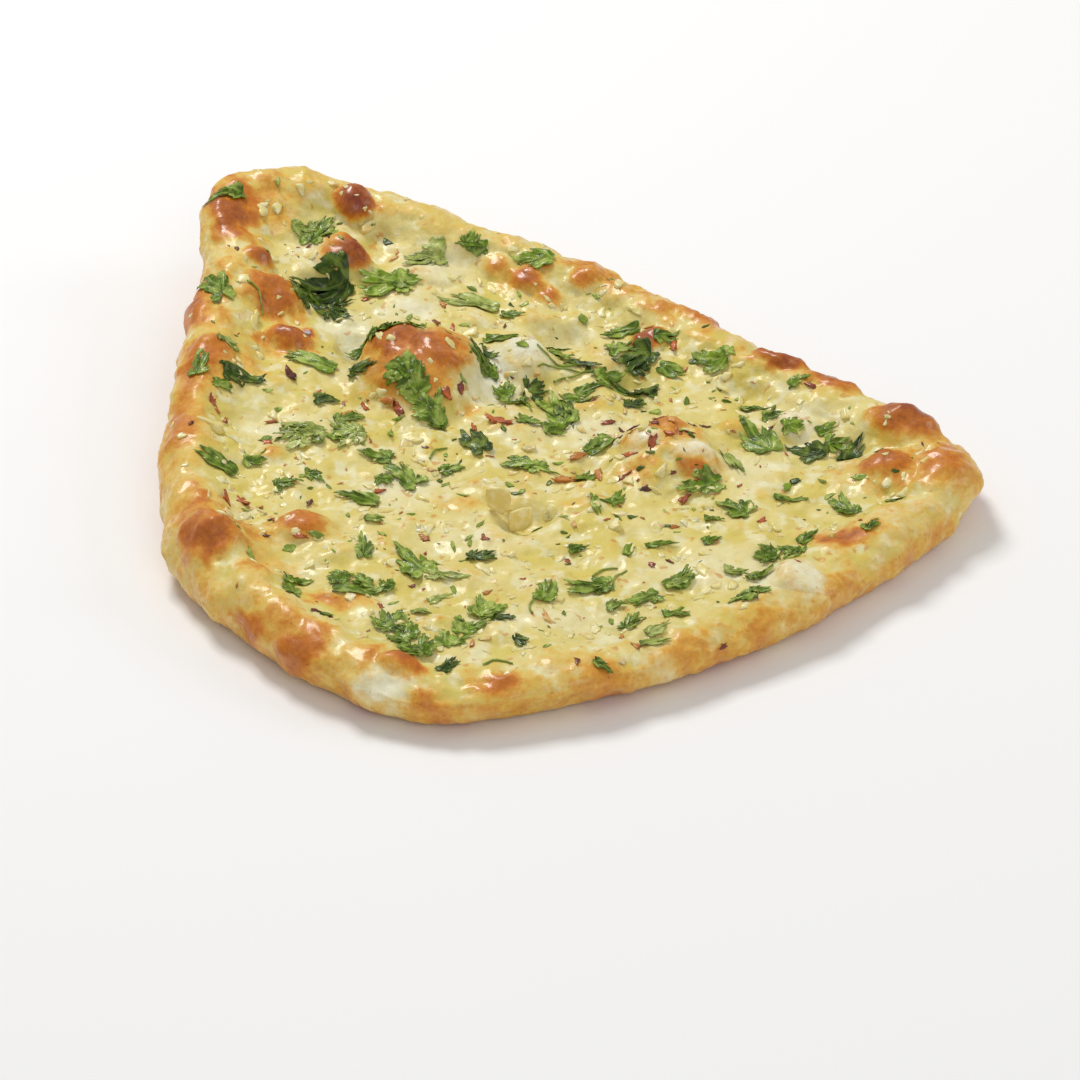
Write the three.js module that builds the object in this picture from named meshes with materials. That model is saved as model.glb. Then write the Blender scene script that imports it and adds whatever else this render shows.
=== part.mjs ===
// A garlic naan: one leavened flatbread, stretched to a rounded kite with a puffy rim, blistered by a very hot
// oven and strewn with coriander, garlic and browned flakes. Millimetres, +Z up. It lies on its flat underside,
// and the origin is on that underside at the middle of the bread's width and length.
import * as THREE from 'three';

// ---- Driving dimensions ----
const BREAD_WIDTH = 234; // along X
const BREAD_LENGTH = 250; // along Y
const MIDDLE_THICKNESS = 12; // of the pressed middle, before its bubbles and dimples
const SIDE_HEIGHT = 9; // of the outermost line of the side above the underside
const CREST_INSET = 11; // from the side in to the top of the rim
const RIM_WIDTH = 23; // from the side in to where the rim has sunk to the middle
const UNDER_ROUND = 8; // from the side in to where the underside is flat
const CURL_LIFT = 22; // of the back left corner, which has curled up
const CURL_START = 20; // from the origin towards that corner, where the curl begins
const REST_GAP = 0.35; // between the bread's skin and a piece lying on it
const LEAF_THICKNESS = 0.5;
const STEM_RADIUS = 0.6;
const GARLIC_THICKNESS = 0.9; // of a garlic bit at its edge
const GARLIC_CROWN = 1.6; // of a garlic bit's middle above its edge
const SLICE_THICKNESS = 1.4; // of a garlic slice standing on its edge
const SLICE_RADIUS = 6; // of that slice's bend
const FLAKE_THICKNESS = 0.4;
const FLAKE_CROWN = 0.5;

// ---- How finely the surface is faceted ----
const TOP_RINGS = 24;
const UNDER_RINGS = 12;
const SIDE_STEPS = 4;
const UNDER_STEPS = 2;
const RING_GROWTH = 6; // more facet corners on each ring than on the one inside it
const EDGE_SAMPLES = 288; // points where the distance to the side is measured
const STEM_STEPS = 8;
const STEM_SIDES = 6;
const SLICE_CURVE_STEPS = 6;

const CURL_HEADING = new THREE.Vector2(-0.65, 0.76).normalize();
const BUBBLE_SHOULDER = 1.3; // over 1 the foot of a bubble runs out softly
const HEIGHT_ABOVE_ALL = 200; // where the line that finds the skin's height starts
const PATCH = 2; // from a resting point to the skin felt for on each side of it
const EDGE_STEP_BACK = 0.97; // towards the middle, for a point past the side

// ---- The bread as it was stretched: corner and side points, each with the height of the rim's crest there ----
const OUTLINE = [
  [117, -6, 19], [101, 14, 18.5], [76, 37, 18], [52, 60, 18], [27, 85, 18], [3, 101, 18.5], [-27, 114, 18.5],
  [-60, 124, 18.5], [-89, 128, 18.5], [-106, 122, 18.5], [-113, 107, 18.5], [-112, 75, 19], [-115, 36, 19.5],
  [-117, -10, 19.5], [-112, -52, 20], [-94, -80, 18.5], [-66, -108, 15.5], [-38, -122, 14], [0, -114, 14],
  [36, -98, 14.5], [68, -76, 15], [96, -48, 16], [115, -24, 18],
].map(([x, y, crest]) => new THREE.Vector3(x, y, crest));

// Bubbles (height above the dough round them) and hollows (negative): x, y, radius along X, along Y, height.
const SWELLINGS = [
  [-43, 40, 20, 22, 13], // the great bubble
  [-13, 47, 10, 12, 8], // the pale bubble beside it
  [27, -5, 20, 18, 8.5], // the speckled bubble
  [-67, 90, 10, 9, 6], // the dark blister behind
  [-87, 72, 9, 9, 3], // lumps along the left rim
  [-96, -50, 16, 13, 6],
  [-76, -41, 11, 9, 3],
  [-62, -96, 16, 12, 1.5],
  [90, -15, 13, 11, 6], // lumps of the right corner
  [97, 7, 12, 9, 5],
  [62, 40, 9, 6, 3], // lumps of the back rim
  [24, 58, 9, 7, 2],
  [-13, 86, 12, 9, 3],
  [62, -66, 13, 9, 2], // low pale bubbles
  [66, 12, 9, 8, 2],
  [-75, 79, 10, 10, -5], // hollows and finger dimples
  [-67, 51, 8, 13, -5],
  [-2, 64, 10, 9, -5],
  [-8, 28, 10, 8, -3.5],
  [18, 40, 10, 11, -3.5],
  [-14, -36, 10, 9, -5.5],
  [-5, -24, 9, 7, -1.5],
  [58, -2, 15, 11, -2],
];

// ---- What lies on it: x, y, length, width, heading in degrees from +X ----
const BROAD_LEAVES = [
  [-76, 102, 14, 10, 60], [-75, 80, 17, 13, 20], [-56, 82, 15, 12, 10], [-44, 94, 13, 10, 10],
  [-106, 66, 14, 9, -60], [-11, 92, 12, 9, -10], [-4, 22, 19, 10, -70], [20, 49, 12, 11, 30],
  [19, 36, 13, 10, -20], [42, 45, 12, 9, -30], [54, 7, 17, 11, -60], [68, 0, 12, 8, -20],
  [77, -29, 10, 8, -60], [37, -20, 13, 8, 20], [46, -30, 12, 9, -40], [-47, -14, 12, 9, -50],
  [-44, -57, 17, 11, -60], [-13, -9, 12, 9, -30], [5, -69, 12, 8, 10], [20, -75, 10, 7, 30],
];
const FEATHERY_LEAVES = [
  [-55, 54, 20, 10, 35], [-45, 22, 23, 10, -50], [-72, 5, 24, 13, 5], [-20, 34, 20, 7, -50],
  [-27, -86, 22, 9, 60], [-46, -92, 22, 9, -60], [-59, -67, 16, 7, -15], [57, -53, 13, 7, 8],
];
const SLIVERS = [
  [-106, 106, 14, 6, 25], [-77, 41, 17, 6, -25], [-96, 27, 13, 4, 10], [-31, 77, 19, 6, -12],
  [-30, 98, 10, 4, 0], [15, 64, 12, 5, 5], [-101, -14, 12, 6, -10], [-56, -4, 11, 6, -20],
  [-61, -25, 13, 6, -10], [-58, -49, 13, 5, -85], [-77, -69, 18, 5, -80], [-27, 3, 14, 7, -65],
  [9, 2, 12, 6, 55], [4, -14, 10, 5, 50], [46, -78, 8, 6, 20],
];
const GARLIC_BITS = [
  [-61, 106, 9, 4, 20], [-36, -97, 6, 5, 0], [-24, -61, 7, 5, 30], [-103, 2, 10, 4, 70],
  [-86, 16, 7, 4, 40], [6, -88, 6, 4, 10], [31, -28, 7, 4, 15], [36, -72, 6, 4, -30],
];
const BROWNED_FLAKES = [
  [-92, -30, 7, 4, -10], [-20, 12, 10, 6, 15], [-82, 33, 6, 4, 30],
];
// x and y of each point along a stem.
const STEMS = [
  [[-9, 46], [-3, 44], [3, 45]],
  [[53, -62], [58, -61], [63, -57]],
];
// x, y and heading of the bend, and the height of the slice.
const STANDING_SLICES = [
  [-20.5, -33, -105, 8.5],
  [-13.5, -37, -65, 7.5],
];

// ---- Leaf and crumb forms: points on the edge, and how far in the notches between them reach ----
const FORMS = {
  broad: { points: 6, notch: 0.66, thickness: LEAF_THICKNESS, crown: 0 },
  feathery: { points: 7, notch: 0.5, thickness: LEAF_THICKNESS, crown: 0 },
  sliver: { points: 5, notch: 0.84, thickness: LEAF_THICKNESS, crown: 0 },
  garlic: { points: 5, notch: 0.86, thickness: GARLIC_THICKNESS, crown: GARLIC_CROWN },
  flake: { points: 4, notch: 0.78, thickness: FLAKE_THICKNESS, crown: FLAKE_CROWN },
};

const finish = (color, roughness) => new THREE.MeshStandardMaterial({ color, roughness, metalness: 0 });
const MATERIALS = {
  crust: finish(0xe2c58a, 0.5),
  broad: finish(0x3f7a2c, 0.4),
  feathery: finish(0x5f9440, 0.4),
  sliver: finish(0x2c5a20, 0.4),
  garlic: finish(0xe6d896, 0.35),
  flake: finish(0x8a3a18, 0.6),
};

// ---- The side line, drawn about its own middle and stretched to the bread's width and length ----
const drawnCurve = new THREE.CatmullRomCurve3(OUTLINE, true, 'centripetal');
const drawnBox = new THREE.Box3().setFromPoints(sideRing(RING_GROWTH * TOP_RINGS, drawnCurve));
const drawnMiddle = drawnBox.getCenter(new THREE.Vector3());
const drawnSize = drawnBox.getSize(new THREE.Vector3());
const stretch = new THREE.Vector2(BREAD_WIDTH / drawnSize.x, BREAD_LENGTH / drawnSize.y);
const sideCurve = new THREE.CatmullRomCurve3(OUTLINE.map(stretched), true, 'centripetal');
const sideSamples = sideRing(EDGE_SAMPLES, sideCurve);
const curlReach = Math.max(...sideSamples.map((p) => alongCurl(p.x, p.y))) - CURL_START;

// Evenly spaced points round a closed curve.
function sideRing(count, curve) {
  return Array.from({ length: count }, (_, i) => curve.getPointAt(i / count));
}

// A drawn point's place on the bread.
function placed(x, y) {
  return new THREE.Vector2((x - drawnMiddle.x) * stretch.x, (y - drawnMiddle.y) * stretch.y);
}

function stretched(point) {
  const { x, y } = placed(point.x, point.y);
  return new THREE.Vector3(x, y, point.z);
}

function alongCurl(x, y) {
  return CURL_HEADING.x * x + CURL_HEADING.y * y;
}

// How far the curl lifts the bread over a point.
function curl(x, y) {
  return CURL_LIFT * (Math.max(0, alongCurl(x, y) - CURL_START) / curlReach) ** 2;
}

// The distance in from the side, and the rim's crest height at the side's nearest point.
function fromSide(x, y) {
  let nearest = sideSamples[0];
  let least = Infinity;
  sideSamples.forEach((a, i) => {
    const b = sideSamples[(i + 1) % EDGE_SAMPLES];
    const along = ((x - a.x) * (b.x - a.x) + (y - a.y) * (b.y - a.y)) / ((b.x - a.x) ** 2 + (b.y - a.y) ** 2);
    const point = a.clone().lerp(b, THREE.MathUtils.clamp(along, 0, 1));
    const distance = Math.hypot(x - point.x, y - point.y);
    if (distance < least) {
      least = distance;
      nearest = point;
    }
  });
  return { distance: least, crest: nearest.z };
}

// A quarter round: 0 at the side, 1 where the round ends.
function quarterRound(distance, reach) {
  return Math.sqrt(1 - (1 - Math.min(distance / reach, 1)) ** 2);
}

function swelling(x, y) {
  return SWELLINGS.reduce((sum, [atX, atY, alongX, alongY, height]) => {
    const middle = placed(atX, atY);
    const reach = ((x - middle.x) / alongX) ** 2 + ((y - middle.y) / alongY) ** 2;
    return reach < 1 ? sum + height * (1 - reach) ** BUBBLE_SHOULDER : sum;
  }, 0);
}

function topHeight(x, y) {
  const { distance, crest } = fromSide(x, y);
  const risen = quarterRound(distance, CREST_INSET);
  const sunk = THREE.MathUtils.smoothstep(distance, CREST_INSET, RIM_WIDTH);
  const rim = THREE.MathUtils.lerp(SIDE_HEIGHT, THREE.MathUtils.lerp(crest, MIDDLE_THICKNESS, sunk), risen);
  return rim + swelling(x, y) * risen + curl(x, y);
}

function underHeight(x, y) {
  const { distance } = fromSide(x, y);
  return SIDE_HEIGHT * (1 - quarterRound(distance, UNDER_ROUND)) + curl(x, y);
}

// A closed body from rings of points, from the middle of its top over its side to the middle of its underside.
// A ring's points go round counter-clockwise as seen from above, and a ring of one point closes an end.
function closedBody(rings) {
  const starts = [];
  let total = 0;
  for (const ring of rings) {
    starts.push(total);
    total += ring.length;
  }
  const corners = [];
  for (let level = 1; level < rings.length; level++) {
    stitch(corners, starts[level], rings[level].length, starts[level - 1], rings[level - 1].length);
  }
  const geometry = new THREE.BufferGeometry().setFromPoints(rings.flat());
  geometry.setIndex(corners);
  geometry.computeVertexNormals();
  return geometry;
}

// Facets between two rings that may have different numbers of points.
function stitch(corners, startA, countA, startB, countB) {
  const stepsA = countA > 1 ? countA : 0;
  const stepsB = countB > 1 ? countB : 0;
  let a = 0;
  let b = 0;
  while (a < stepsA || b < stepsB) {
    const here = startA + (a % countA);
    const there = startB + (b % countB);
    if (b === stepsB || (a < stepsA && (a + 1) / countA <= (b + 1) / countB)) {
      a += 1;
      corners.push(here, startA + (a % countA), there);
    } else {
      b += 1;
      corners.push(here, startB + (b % countB), there);
    }
  }
}

// A ring of the side line moved in, by a distance and then by a share of what is left, at the given height.
function insetRing(count, inset, share, height) {
  return sideRing(count, sideCurve).map((p) => {
    const kept = share * (1 - inset / Math.hypot(p.x, p.y));
    return new THREE.Vector3(p.x * kept, p.y * kept, height(p.x * kept, p.y * kept));
  });
}

function breadGeometry() {
  const sideCount = RING_GROWTH * TOP_RINGS;
  const rings = [[new THREE.Vector3(0, 0, topHeight(0, 0))]];
  for (let ring = 1; ring <= TOP_RINGS; ring++) {
    rings.push(insetRing(RING_GROWTH * ring, CREST_INSET, ring / TOP_RINGS, topHeight));
  }
  for (let step = SIDE_STEPS - 1; step >= 0; step--) {
    const inset = CREST_INSET * (1 - Math.cos((Math.PI / 2) * (step / SIDE_STEPS)));
    rings.push(insetRing(sideCount, inset, 1, topHeight));
  }
  for (let step = 1; step <= UNDER_STEPS; step++) {
    const inset = UNDER_ROUND * (1 - Math.cos((Math.PI / 2) * (step / UNDER_STEPS)));
    rings.push(insetRing(sideCount, inset, 1, underHeight));
  }
  for (let ring = UNDER_RINGS - 1; ring > 0; ring--) {
    rings.push(insetRing(RING_GROWTH * ring, UNDER_ROUND, ring / UNDER_RINGS, underHeight));
  }
  rings.push([new THREE.Vector3(0, 0, underHeight(0, 0))]);
  return closedBody(rings);
}

const bread = new THREE.Mesh(breadGeometry(), MATERIALS.crust);
bread.name = 'naan_bread';

// The height of the bread's skin over a point, or of the nearest skin for a point past the side.
const plumbLine = new THREE.Raycaster();
function skinHeight(x, y) {
  plumbLine.set(new THREE.Vector3(x, y, HEIGHT_ABOVE_ALL), new THREE.Vector3(0, 0, -1));
  const [hit] = plumbLine.intersectObject(bread);
  return hit ? hit.point.z : skinHeight(x * EDGE_STEP_BACK, y * EDGE_STEP_BACK);
}

// The highest skin under a small patch round a point, so that what rests there spans the ridges of the skin.
function restHeight(x, y) {
  const around = [[0, 0], [PATCH, 0], [-PATCH, 0], [0, PATCH], [0, -PATCH]];
  return Math.max(...around.map(([dx, dy]) => skinHeight(x + dx, y + dy)));
}

// A leaf, crumb or flake that follows the skin: a notched oval, flat or crowned.
function drapedGeometry([atX, atY, length, width, heading], { points, notch, thickness, crown }) {
  const turn = THREE.MathUtils.degToRad(heading);
  const middle = placed(atX, atY);
  const pointAt = (share, corner, above) => {
    const angle = (Math.PI * corner) / points;
    const reach = share * (corner % 2 ? notch : 1);
    const spot = new THREE.Vector2((Math.cos(angle) * reach * length) / 2, (Math.sin(angle) * reach * width) / 2);
    spot.rotateAround(new THREE.Vector2(), turn).add(middle);
    return new THREE.Vector3(spot.x, spot.y, restHeight(spot.x, spot.y) + REST_GAP + above);
  };
  const ringAt = (share, above) => Array.from({ length: 2 * points }, (_, corner) => pointAt(share, corner, above));
  return closedBody([
    [pointAt(0, 0, thickness + crown)],
    ringAt(0.55, thickness + crown * 0.7),
    ringAt(1, thickness),
    ringAt(1, 0),
    ringAt(0.55, 0),
    [pointAt(0, 0, 0)],
  ]);
}

// A round stem lying along the skin.
function stemGeometry(route) {
  const section = new THREE.Shape();
  section.absarc(0, 0, STEM_RADIUS, 0, 2 * Math.PI);
  const lying = route.map(([x, y]) => {
    const at = placed(x, y);
    return new THREE.Vector3(at.x, at.y, restHeight(at.x, at.y) + REST_GAP + STEM_RADIUS);
  });
  return new THREE.ExtrudeGeometry(section, {
    steps: STEM_STEPS,
    curveSegments: STEM_SIDES,
    extrudePath: new THREE.CatmullRomCurve3(lying),
  });
}

// A thin bent slice of garlic that stands on its edge in a dimple.
function sliceGeometry([atX, atY, heading, height]) {
  const halfBend = THREE.MathUtils.degToRad(32);
  const plan = new THREE.Shape();
  plan.absarc(0, 0, SLICE_RADIUS + SLICE_THICKNESS, -halfBend, halfBend);
  plan.absarc(0, 0, SLICE_RADIUS, halfBend, -halfBend, true);
  const geometry = new THREE.ExtrudeGeometry(plan, {
    depth: height,
    bevelEnabled: false,
    curveSegments: SLICE_CURVE_STEPS,
  });
  geometry.translate(-SLICE_RADIUS - SLICE_THICKNESS / 2, 0, 0);
  geometry.rotateZ(THREE.MathUtils.degToRad(heading));
  const middle = placed(atX, atY);
  geometry.translate(middle.x, middle.y, 0);
  const places = geometry.getAttribute('position');
  let foot = 0;
  for (let i = 0; i < places.count; i++) {
    foot = Math.max(foot, skinHeight(places.getX(i), places.getY(i)));
  }
  return geometry.translate(0, 0, foot + REST_GAP);
}

const group = new THREE.Group();
group.add(bread);

// One named mesh for each entry of a list.
function scatter(name, entries, makeGeometry, material) {
  entries.forEach((entry, i) => {
    const piece = new THREE.Mesh(makeGeometry(entry), material);
    piece.name = `${name}_${i + 1}`;
    group.add(piece);
  });
}

scatter('coriander_leaf', BROAD_LEAVES, (entry) => drapedGeometry(entry, FORMS.broad), MATERIALS.broad);
scatter('coriander_frond', FEATHERY_LEAVES, (entry) => drapedGeometry(entry, FORMS.feathery), MATERIALS.feathery);
scatter('coriander_sliver', SLIVERS, (entry) => drapedGeometry(entry, FORMS.sliver), MATERIALS.sliver);
scatter('coriander_stem', STEMS, stemGeometry, MATERIALS.feathery);
scatter('garlic_bit', GARLIC_BITS, (entry) => drapedGeometry(entry, FORMS.garlic), MATERIALS.garlic);
scatter('garlic_slice', STANDING_SLICES, sliceGeometry, MATERIALS.garlic);
scatter('browned_flake', BROWNED_FLAKES, (entry) => drapedGeometry(entry, FORMS.flake), MATERIALS.flake);

export default group;
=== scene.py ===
"""A garlic naan on a plain pale floor: one baked bread, its coriander, garlic and browned flakes."""

import logging
import math
from dataclasses import dataclass, field
from enum import Enum

import bmesh
import bpy
import numpy as np
from mathutils import Matrix, Vector, noise
from mathutils.bvhtree import BVHTree


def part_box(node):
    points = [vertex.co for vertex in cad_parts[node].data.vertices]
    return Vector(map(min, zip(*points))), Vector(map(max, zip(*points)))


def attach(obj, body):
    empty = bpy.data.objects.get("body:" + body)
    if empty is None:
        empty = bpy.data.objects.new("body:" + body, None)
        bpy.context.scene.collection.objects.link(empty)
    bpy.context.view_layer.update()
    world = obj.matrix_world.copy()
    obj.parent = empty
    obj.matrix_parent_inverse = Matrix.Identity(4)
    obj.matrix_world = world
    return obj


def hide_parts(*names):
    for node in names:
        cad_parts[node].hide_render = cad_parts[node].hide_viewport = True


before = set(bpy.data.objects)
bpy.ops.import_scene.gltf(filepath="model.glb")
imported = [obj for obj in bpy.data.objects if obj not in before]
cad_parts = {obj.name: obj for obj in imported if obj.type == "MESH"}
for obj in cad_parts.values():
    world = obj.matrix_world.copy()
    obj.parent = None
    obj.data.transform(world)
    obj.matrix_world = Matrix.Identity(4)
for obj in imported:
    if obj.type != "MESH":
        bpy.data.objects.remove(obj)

MM = 0.001
BODY = "root"
BREAD_NODE = "naan_bread"
DROP_FROM = 1.0
MIDDLE_HEIGHT = 12 * MM
LOG = logging.getLogger("naan")

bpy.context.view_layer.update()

Colour = tuple[float, float, float, float]


# --------------------------------------------------------------------------------------------------
# Small tools
# --------------------------------------------------------------------------------------------------
def paint(red: int, green: int, blue: int) -> Colour:
    """Turn a screen colour into the linear colour that a shader takes.

    Args:
        red: Red, 0 to 255.
        green: Green, 0 to 255.
        blue: Blue, 0 to 255.

    Returns:
        Linear red, green, blue and full alpha.
    """
    def linear(value: int) -> float:
        """Undo the screen's curve for one channel."""
        share = value / 255
        return share / 12.92 if share <= 0.04045 else ((share + 0.055) / 1.055) ** 2.4

    return (linear(red), linear(green), linear(blue), 1.0)


def smoothstep(low: float, high: float, value: np.ndarray) -> np.ndarray:
    """Ease from 0 at low to 1 at high.

    Args:
        low: Where the step starts.
        high: Where it ends.
        value: The values to ease.

    Returns:
        The eased values, 0 to 1.
    """
    share = np.clip((value - low) / (high - low), 0.0, 1.0)
    return share * share * (3 - 2 * share)


def noise_at(points: np.ndarray, size: float, seed: float) -> np.ndarray:
    """Sample smooth noise at many points.

    Args:
        points: Places in metres, one row each.
        size: The size of one lump of the noise, in metres.
        seed: An offset that gives another draw of the noise.

    Returns:
        One value from about -1 to 1 for each point.
    """
    scaled = points / size + seed
    return np.array([noise.noise(Vector(row)) for row in scaled])


def mesh_piece(name: str, points: np.ndarray, faces: list, material: bpy.types.Material) -> bpy.types.Object:
    """Make one smooth-shaded mesh object.

    Args:
        name: The piece's name.
        points: Corner places in metres, one row each.
        faces: Corner numbers of each face.
        material: Its finish.

    Returns:
        The new object, in the scene.
    """
    mesh = bpy.data.meshes.new(name)
    mesh.from_pydata(np.asarray(points, float).tolist(), [], [list(face) for face in faces])
    mesh.polygons.foreach_set("use_smooth", np.ones(len(mesh.polygons), bool))
    mesh.materials.append(material)
    mesh.update()
    piece = bpy.data.objects.new(name, mesh)
    bpy.context.scene.collection.objects.link(piece)
    return piece


def store(piece: bpy.types.Object, name: str, values: np.ndarray) -> None:
    """Keep one number for each corner of a mesh, for its shader to read.

    Args:
        piece: The mesh object.
        name: The attribute's name.
        values: One number for each corner.
    """
    attribute = piece.data.attributes.new(name, "FLOAT", "POINT")
    attribute.data.foreach_set("value", np.asarray(values, np.float32))


def corners_of(mesh: bpy.types.Mesh) -> np.ndarray:
    """Return a mesh's corner places, one row each."""
    places = np.zeros(len(mesh.vertices) * 3)
    mesh.vertices.foreach_get("co", places)
    return places.reshape(-1, 3)


def normals_of(mesh: bpy.types.Mesh) -> np.ndarray:
    """Return a mesh's corner normals, one row each."""
    directions = np.zeros(len(mesh.vertices) * 3, np.float32)
    mesh.vertex_normals.foreach_get("vector", directions)
    return directions.reshape(-1, 3).astype(float)


class Slot(Enum):
    """The record's material slots."""

    CRUST = "crust"
    CORIANDER = "coriander"
    GARLIC = "garlic"
    FLAKE = "browned_flake"


def settle(piece: bpy.types.Object, slot: Slot, *nodes: str) -> bpy.types.Object:
    """Tie a finished piece to the bread's body and hide the plain nodes that it replaces.

    Args:
        piece: The piece.
        slot: The record's material slot; not used.
        nodes: The plain nodes that it replaces, if any.

    Returns:
        The same piece.
    """
    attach(piece, BODY)
    if nodes:
        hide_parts(*nodes)
    LOG.info("%s: %d faces", piece.name, len(piece.data.polygons))
    return piece


# --------------------------------------------------------------------------------------------------
# Finishes
# --------------------------------------------------------------------------------------------------
class ShaderSketch:
    """A material whose nodes are added in short steps."""

    def __init__(self, name: str) -> None:
        """Start with a surface shader joined to the output.

        Args:
            name: The material's name.
        """
        self.material = bpy.data.materials.new(name)
        self.material.use_nodes = True
        self.tree = self.material.node_tree
        self.surface = self.tree.nodes["Principled BSDF"]
        self.place = self.tree.nodes.new("ShaderNodeTexCoord").outputs["Object"]

    def link(self, source: bpy.types.NodeSocket, target: bpy.types.NodeSocket) -> None:
        """Join two sockets."""
        self.tree.links.new(source, target)

    def feed(self, target: bpy.types.NodeSocket, value: object) -> None:
        """Set a socket, or join it if the value is a socket itself."""
        if isinstance(value, bpy.types.NodeSocket):
            self.link(value, target)
        else:
            target.default_value = value

    def attribute(self, name: str) -> bpy.types.NodeSocket:
        """Read a number kept on the mesh."""
        node = self.tree.nodes.new("ShaderNodeAttribute")
        node.attribute_name = name
        return node.outputs["Fac"]

    def noise(self, size: float, detail: float = 2.0, harsh: float = 0.5) -> bpy.types.NodeSocket:
        """Add noise whose lumps are the given size in metres.

        Args:
            size: Lump size in metres.
            detail: Finer layers added.
            harsh: How strong the finer layers are.

        Returns:
            The noise value's socket.
        """
        node = self.tree.nodes.new("ShaderNodeTexNoise")
        self.link(self.place, node.inputs["Vector"])
        node.inputs["Scale"].default_value = 1 / size
        node.inputs["Detail"].default_value = detail
        node.inputs["Roughness"].default_value = harsh
        return node.outputs["Fac"]

    def cells(self, size: float) -> bpy.types.NodeSocket:
        """Add rounded cells of the given size in metres and return the distance inside each."""
        node = self.tree.nodes.new("ShaderNodeTexVoronoi")
        node.feature = "SMOOTH_F1"
        self.link(self.place, node.inputs["Vector"])
        node.inputs["Scale"].default_value = 1 / size
        return node.outputs["Distance"]

    def math(self, operation: str, first: object, second: object, clamp: bool = False,
             third: object = 0.0) -> bpy.types.NodeSocket:
        """Add one sum.

        Args:
            operation: The node's operation.
            first: A number or a socket.
            second: A number or a socket.
            clamp: Whether to hold the result between 0 and 1.
            third: What an operation of three terms adds.

        Returns:
            The result's socket.
        """
        node = self.tree.nodes.new("ShaderNodeMath")
        node.operation = operation
        node.use_clamp = clamp
        self.feed(node.inputs[0], first)
        self.feed(node.inputs[1], second)
        self.feed(node.inputs[2], third)
        return node.outputs[0]

    def window(self, value: object, low: float, high: float, start: float = 0.0,
               end: float = 1.0) -> bpy.types.NodeSocket:
        """Ease a value from start at low to end at high.

        Args:
            value: A socket.
            low: Where the change starts.
            high: Where it ends.
            start: The result below low.
            end: The result above high.

        Returns:
            The result's socket.
        """
        node = self.tree.nodes.new("ShaderNodeMapRange")
        node.interpolation_type = "SMOOTHSTEP"
        self.feed(node.inputs["Value"], value)
        for name, number in (("From Min", low), ("From Max", high), ("To Min", start), ("To Max", end)):
            node.inputs[name].default_value = number
        return node.outputs["Result"]

    def ramp(self, value: bpy.types.NodeSocket, stops: list[tuple[float, Colour]]) -> bpy.types.NodeSocket:
        """Turn a number into a colour.

        Args:
            value: The number's socket.
            stops: Places from 0 to 1 and the colour at each.

        Returns:
            The colour's socket.
        """
        node = self.tree.nodes.new("ShaderNodeValToRGB")
        elements = node.color_ramp.elements
        while len(elements) < len(stops):
            elements.new(1.0)
        for element, (place, colour) in zip(elements, stops):
            element.position = place
            element.color = colour
        self.link(value, node.inputs["Fac"])
        return node.outputs["Color"]

    def blend(self, share: object, first: object, second: object) -> bpy.types.NodeSocket:
        """Mix two colours.

        Args:
            share: How much of the second, a number or a socket.
            first: A colour or a socket.
            second: A colour or a socket.

        Returns:
            The mixed colour's socket.
        """
        node = self.tree.nodes.new("ShaderNodeMix")
        node.data_type = "RGBA"
        self.feed(node.inputs["Factor"], share)
        self.feed(node.inputs[6], first)
        self.feed(node.inputs[7], second)
        return node.outputs[2]

    def bump(self, height: bpy.types.NodeSocket, strength: float, depth: float,
             before: bpy.types.NodeSocket | None = None) -> bpy.types.NodeSocket:
        """Roughen the surface's shading.

        Args:
            height: The height's socket.
            strength: How much of it shows.
            depth: The height of a full step, in metres.
            before: A normal to add to.

        Returns:
            The normal's socket.
        """
        node = self.tree.nodes.new("ShaderNodeBump")
        node.inputs["Strength"].default_value = strength
        node.inputs["Distance"].default_value = depth
        self.link(height, node.inputs["Height"])
        if before is not None:
            self.link(before, node.inputs["Normal"])
        return node.outputs["Normal"]

    def set(self, **values: object) -> None:
        """Set the surface shader's sockets; an underscore in a name stands for a space."""
        for name, value in values.items():
            self.feed(self.surface.inputs[name.replace("_", " ")], value)


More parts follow.
